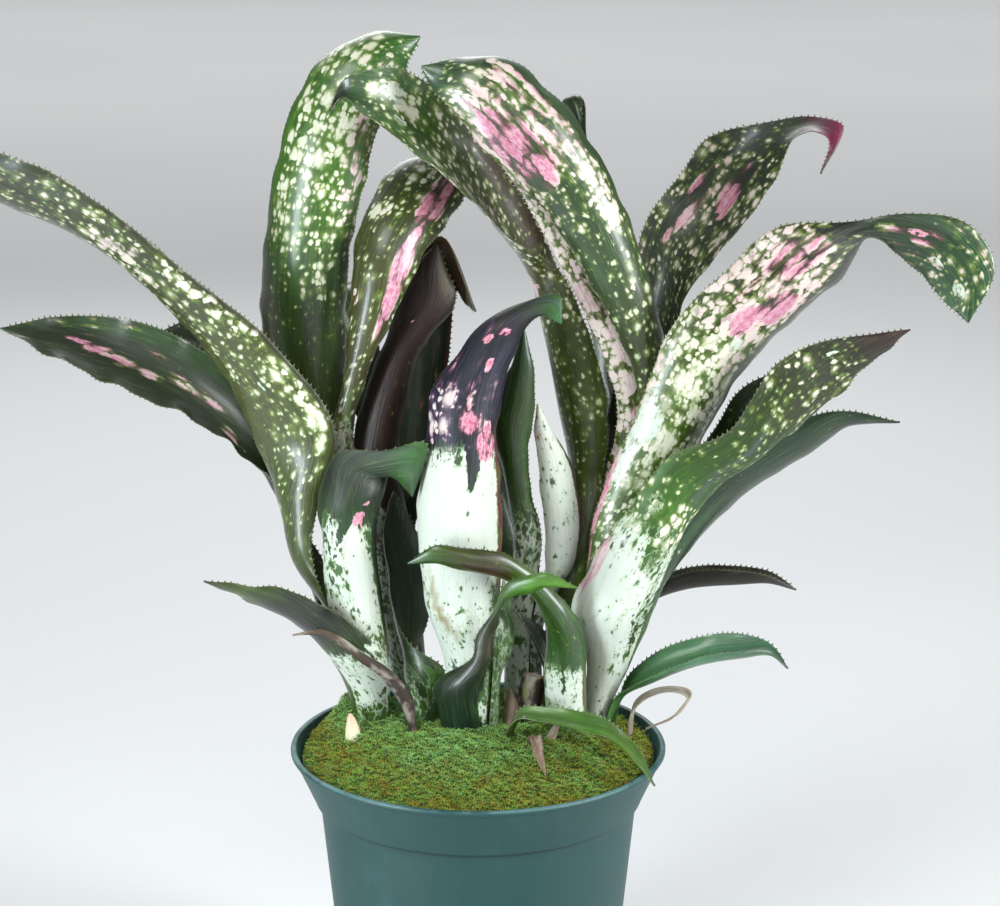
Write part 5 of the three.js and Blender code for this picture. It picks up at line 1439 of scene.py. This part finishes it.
def build_leaf(name, plan, material):
    slot, wrap, blade = plan[0], plan[4], blades[name]
    columns = columns_across(blade, wrap)
    leaf, grid_points, normals, along, across = leaf_grid(name, blade, columns)
    thicken(leaf, len(grid_points), columns)
    inner = inner_side(leaf.data, grid_points, normals)
    along, across = np.tile(along, 2), np.tile(across, 2)
    points, faces, places = ([], [], []) if slot == "dry_leaf" else spines(blade)
    if points:
        join_spines(leaf, points, faces)
        along = np.concatenate([along, [place[0] for place in places]])
        across = np.concatenate([across, [place[1] for place in places]])
        inner = np.concatenate([inner, np.zeros(len(places))])
    write_attributes(leaf.data, name, blade, along, across, inner)
    leaf.data.update()
    smooth(leaf, 55)
    add_piece(leaf, name, material)
    return len(leaf.data.polygons)


# %% [markdown]
# ## Leaf finish
#
# Freckles on these leaves are round, soft at the edge and of many sizes, and where they crowd
# only a dark net is left between them. One way is a noise cut at a threshold, but that gives
# clouds. So each size is a Voronoi pattern whose cells hold a freckle or stay empty, by the cream
# wash. The same cells, read the other way round, put green flecks into the white areas, and in
# pink patches the cells are stretched along the leaf, so that the freckles run into streaks. Long
# noises along the leaf give veins and fibres, and the skin is waxy, so it has a thin clear coat.

# %% Cells that hold freckles
CREAM, PINK, WHITE = linear(222, 222, 200), linear(196, 112, 142), linear(206, 214, 203)
FRECKLE_SIZES = (0.0084, 0.0046, 0.0025)
FRECKLE_SHARES = ((1.3, -0.5), (1.15, -0.2), (1.1, -0.1))


class Cells:
    """Voronoi cells of one size. Each has a chance of its own between 0 and 1."""

    def __init__(self, finish, flat, size):
        self.finish = finish
        self.reach = finish.node("ShaderNodeTexVoronoi", {"voronoi_dimensions": "2D"},
                                 {"Vector": flat, "Scale": 1 / size, "Randomness": 0.7})
        self.chance = finish.parts(self.reach.another("Color"))[0]

    def spots(self, amount, ragged):
        """Above 0 inside a spot. The larger the amount, the more cells have one and the wider it is."""
        widest = 0.41 + 0.3 * self.finish.step(amount, 0.5, 0.85)
        radius = self.finish.maths("MINIMUM", (amount - self.chance) * 0.8, widest)
        return radius - self.reach + ragged


def largest(finish, signals):
    found = signals[0]
    for signal in signals[1:]:
        found = finish.maths("MAXIMUM", found, signal)
    return found


print("freckle cells, mm:", [round(size / MM, 1) for size in FRECKLE_SIZES])

# %% Washes and noises of a leaf
class Skin(Finish):
    """A leaf's finish with all that its layers share: the washes, the noises and the cells."""

    def __init__(self, name):
        super().__init__(name)
        washes = self.attribute("washes")
        self.cream, self.pink, self.white = self.parts(washes)
        self.dark = washes.another("Alpha")
        _, self.across, self.inner = self.parts(self.attribute("place"))
        self.flat = self.node("ShaderNodeUVMap", {"uv_map": "lengths"})
        self.fibre = self.drawn_out(50, 1500, 2, 0.6)
        self.streak = self.drawn_out(16, 260, 3, 0.65)
        self.blotch = self.drawn_out(45, 90, 2, 0.6)
        self.lump = self.drawn_out(150, 260, 2, 0.6)
        self.speck = self.drawn_out(420, 700, 3, 0.7)
        self.rough = (self.speck - 0.5) * 0.24
        self.rosy = self.step(self.pink + (self.streak - 0.5) * 1.1 + (self.lump - 0.5) * 0.7, 0.42, 0.8)
        self.bent = self.bent_places()
        self.cells = [Cells(self, self.bent, size) for size in FRECKLE_SIZES]

    def drawn_out(self, along, across, detail, roughness):
        """A noise with so many waves to a metre along the leaf and across it."""
        return self.noise(self.stretch(self.flat, (along, across, 1)), 1, detail, roughness)

    def bent_places(self):
        """The places on the leaf, pushed about a little, so that no freckle is a true circle."""
        wobble = self.node("ShaderNodeTexNoise", {"noise_dimensions": "2D"},
                           {"Vector": self.flat, "Scale": 300, "Detail": 3, "Roughness": 0.6}, "Color")
        pushed = self.node("ShaderNodeVectorMath", {"operation": "MULTIPLY_ADD"},
                           {0: wobble, 1: (0.003, 0.0024, 0), 2: self.flat})
        return self.stretch(pushed, (0.72, 1, 1))


# %% Ground and veins
def veined(skin, vein_tint):
    """The ground colour with dark streaks, fine veins and brighter lumps."""
    base = skin.mix(skin.step(skin.streak, 0.35, 0.7) * 0.5, skin.attribute("ground"), linear(14, 20, 8))
    base = skin.mix(skin.step(skin.fibre, 0.5, 0.75) * 0.4, base, vein_tint)
    base = skin.mix(skin.step(skin.lump, 0.45, 0.75) * 0.6, base, (1.6, 1.55, 0.8), "MULTIPLY")
    return skin.mix(skin.inner * 0.12, base, linear(80, 96, 66))


# %% Freckles
STREAK_SHAPE = (0.42, 1.15, 1)


def freckle_cover(skin):
    """Above 0 inside a freckle: a round one, or a long one where the leaf is pink."""
    ragged = (skin.fibre - 0.5) * (0.12 + 0.5 * skin.pink) + skin.rough
    round_spots = largest(skin, [cells.spots(skin.cream * share + start, ragged)
                                 for cells, (share, start) in zip(skin.cells, FRECKLE_SHARES)])
    long_cells = Cells(skin, skin.stretch(skin.bent, STREAK_SHAPE), FRECKLE_SIZES[1])
    long_spots = long_cells.spots(skin.cream * 1.5 - 0.08, ragged)
    streaky = skin.step(skin.pink + (skin.lump - 0.5) * 0.5, 0.38, 0.62)
    return round_spots * (1 - streaky) + long_spots * streaky


def pink_flesh(skin, rose):
    flesh = skin.mix(skin.step(skin.speck, 0.35, 0.65), rose, linear(216, 170, 182))
    return skin.mix(skin.step(skin.streak, 0.5, 0.7) * 0.5, flesh, linear(180, 78, 112))


def freckled(skin, base, cover, flesh, freckle, fringe):
    """Lays the freckles on, each with a fringe of another colour round it."""
    tint = skin.mix(skin.step(skin.lump, 0.4, 0.7) * 0.55, freckle, linear(184, 200, 132))
    tint = skin.mix(skin.step(skin.pink + (skin.blotch - 0.5) * 0.8, 0.1, 0.4), tint, linear(222, 204, 196))
    tint = skin.mix(skin.rosy, tint, flesh)
    fringe = skin.mix(skin.rosy, fringe, linear(116, 62, 74))
    base = skin.mix(skin.step(cover, -0.32, 0.06) * 0.75, base, fringe)
    return skin.mix(skin.step(cover, -0.08, 0.2), base, tint)


# %% White areas, stains and painted shade
def whitened(skin, base, flesh):
    """Lays on the white areas with their green flecks, and also tells how pale each place is."""
    patches = (skin.lump - 0.5) * 1.9 + (skin.blotch - 0.5) * 1.2
    fleck_share = (1 - skin.white) * 1.25 + (skin.speck - 0.5) * 0.8 + patches
    ragged = skin.rough * 2.1
    flecks = largest(skin, [fleck_share * 0.8 - 0.5, skin.cells[2].spots(fleck_share * 0.75, ragged),
                            skin.cells[1].spots(fleck_share * 0.8 - 0.12, ragged)])
    edge = (skin.lump - 0.5) * 1.4 + (skin.speck - 0.5) * 0.5 + (skin.blotch - 0.5) * 0.7
    area = skin.step(skin.white + edge, 0.42, 0.56)
    pale = area * (1 - skin.step(flecks, -0.05, 0.12))
    milk = skin.mix(skin.step(skin.streak, 0.35, 0.8) * 0.35, WHITE, linear(178, 194, 170))
    milk = skin.mix(skin.step(flecks, -0.2, 0.0) * 0.35, milk, linear(140, 176, 116))
    base = skin.mix(area * (1 - skin.rosy) * 0.5, base, linear(66, 104, 40))
    return skin.mix(pale, base, skin.mix(skin.rosy, milk, flesh)), pale


def stained_and_shaded(skin, base, pale):
    """Ochre stains on the white areas, near-black stains and some painted shade elsewhere, and a paler line
    at the margin.
    """
    stain_and_shade = skin.dark * (0.55 + 0.9 * skin.streak)
    base = skin.mix(stain_and_shade * pale, base, linear(126, 108, 34))
    # nearly black: stains, and painted shade where a dark dab marks a shaded channel
    base = skin.mix(stain_and_shade * (1 - pale), base, linear(22, 18, 12))
    margin = skin.step(skin.maths("ABSOLUTE", skin.across), 0.94, 1.02)
    return skin.mix(margin * 0.4, base, linear(112, 116, 78))


# %% Leaf skin
def leaf_skin(name, roughness, coat, vein_tint=linear(88, 112, 56), freckle=CREAM,
              fringe=linear(110, 136, 48), rose=PINK):
    skin = Skin(name)
    cover, flesh = freckle_cover(skin), pink_flesh(skin, rose)
    base = freckled(skin, veined(skin, vein_tint), cover, flesh, freckle, fringe)
    base, pale = whitened(skin, base, flesh)
    relief = skin.fibre + 0.5 * skin.streak + 0.1 * skin.step(cover, -0.2, 0.2)
    skin.set(Base_Color=stained_and_shaded(skin, base, pale), Roughness=roughness + 0.1 * skin.streak + 0.08 * pale,
             Normal=skin.bump(relief, 0.0003), Coat_Weight=coat, Coat_Roughness=0.24,
             Specular_IOR_Level=0.42)
    print(name, "finish, nodes:", len(skin.tree.nodes))
    return skin.material


# %% [markdown]
# ## Dry leaf finish
#
# A dead bract is paper: brown and tan fibres, quite matte, torn lighter along its ribs.

# %% Dry leaf finish
def dry_skin():
    finish = Finish("dry_leaf")
    flat = finish.node("ShaderNodeUVMap", {"uv_map": "lengths"})
    ground = finish.attribute("ground")
    fibre = finish.noise(finish.stretch(flat, (40, 900, 1)), 1, 3, 0.6)
    patch = finish.noise(finish.stretch(flat, (90, 160, 1)), 1, 3, 0.6)
    base = finish.mix(finish.step(fibre, 0.42, 0.66) * 0.6, ground, linear(52, 44, 38))
    base = finish.mix(finish.step(patch, 0.46, 0.68) * 0.65, base, linear(172, 164, 150))
    finish.set(Base_Color=base, Roughness=0.75, Normal=finish.bump(fibre, 0.0005))
    return finish.material


# %% All the leaf finishes
SKINS = {
    "spotted_leaf": leaf_skin("spotted_leaf", 0.33, 0.7),
    "dark_leaf": leaf_skin("dark_leaf", 0.33, 0.5),
    "mottled_leaf": leaf_skin("mottled_leaf", 0.42, 0.08),
    "plum_leaf": leaf_skin("plum_leaf", 0.44, 0.06, linear(72, 80, 124), linear(216, 206, 214),
                           linear(92, 60, 96), linear(184, 72, 114)),
    "fresh_leaf": leaf_skin("fresh_leaf", 0.3, 0.7),
    "brown_leaf": leaf_skin("brown_leaf", 0.42, 0.1, linear(92, 74, 76)),
    "dry_leaf": dry_skin(),
}
print("leaf finishes:", len(SKINS))

# %% Every leaf
face_count = 0
for name, plan in LEAVES.items():
    face_count += build_leaf(name, plan, SKINS[plan[0]])
print("leaf faces:", face_count)

# %% [markdown]
# ## Pale bud
#
# A young shoot that has just pushed through the moss: a blunt cone of tight pale scales. Its
# outline is spun, then leaned over.

# %% Pale bud
BUD_OUTLINE = [(0, 0), (2.3, 0), (2.9, 4), (3.1, 10), (2.9, 15), (2.3, 20), (1.4, 24), (0.5, 26), (0, 26.4)]
BUD_X, BUD_Y, BUD_FOOT = -53, -3, 130.3
BUD_BREADTH, BUD_LEAN = 1.25, 0.12
BLUSH_FROM, BLUSH_TO = 146 * MM, 157 * MM


def young_bud():
    bud = new_chain("young_bud", [(r * MM, 0, z * MM) for r, z in BUD_OUTLINE])
    spin_round(bud, 24)
    for vertex in bud.data.vertices:
        x, y, z = (c / MM for c in vertex.co)
        wave = 1 + 0.08 * math.sin(3 * math.atan2(y, x) + z * 0.35)
        leaned = x * BUD_BREADTH * wave + BUD_X - BUD_LEAN * z
        vertex.co = (leaned * MM, (y * wave + BUD_Y) * MM, (z + BUD_FOOT) * MM)
    return bud


def bud_skin():
    finish = Finish("pale_bud")
    place = finish.object_place()
    streak = finish.noise(finish.stretch(place, (500, 500, 60)), 1, 3, 0.6)
    blush = finish.step(finish.height(place), BLUSH_FROM, BLUSH_TO)
    base = finish.mix(streak, linear(206, 202, 168), linear(228, 220, 190))
    base = finish.mix(blush * 0.7, base, linear(204, 142, 122))
    finish.set(Base_Color=base, Roughness=0.45, Normal=finish.bump(streak, 0.0003))
    return finish.material


# %% Place the bud
bud = young_bud()
smooth(bud, 60)
add_piece(bud, "pale_bud", bud_skin())
print("bud faces:", len(bud.data.polygons))
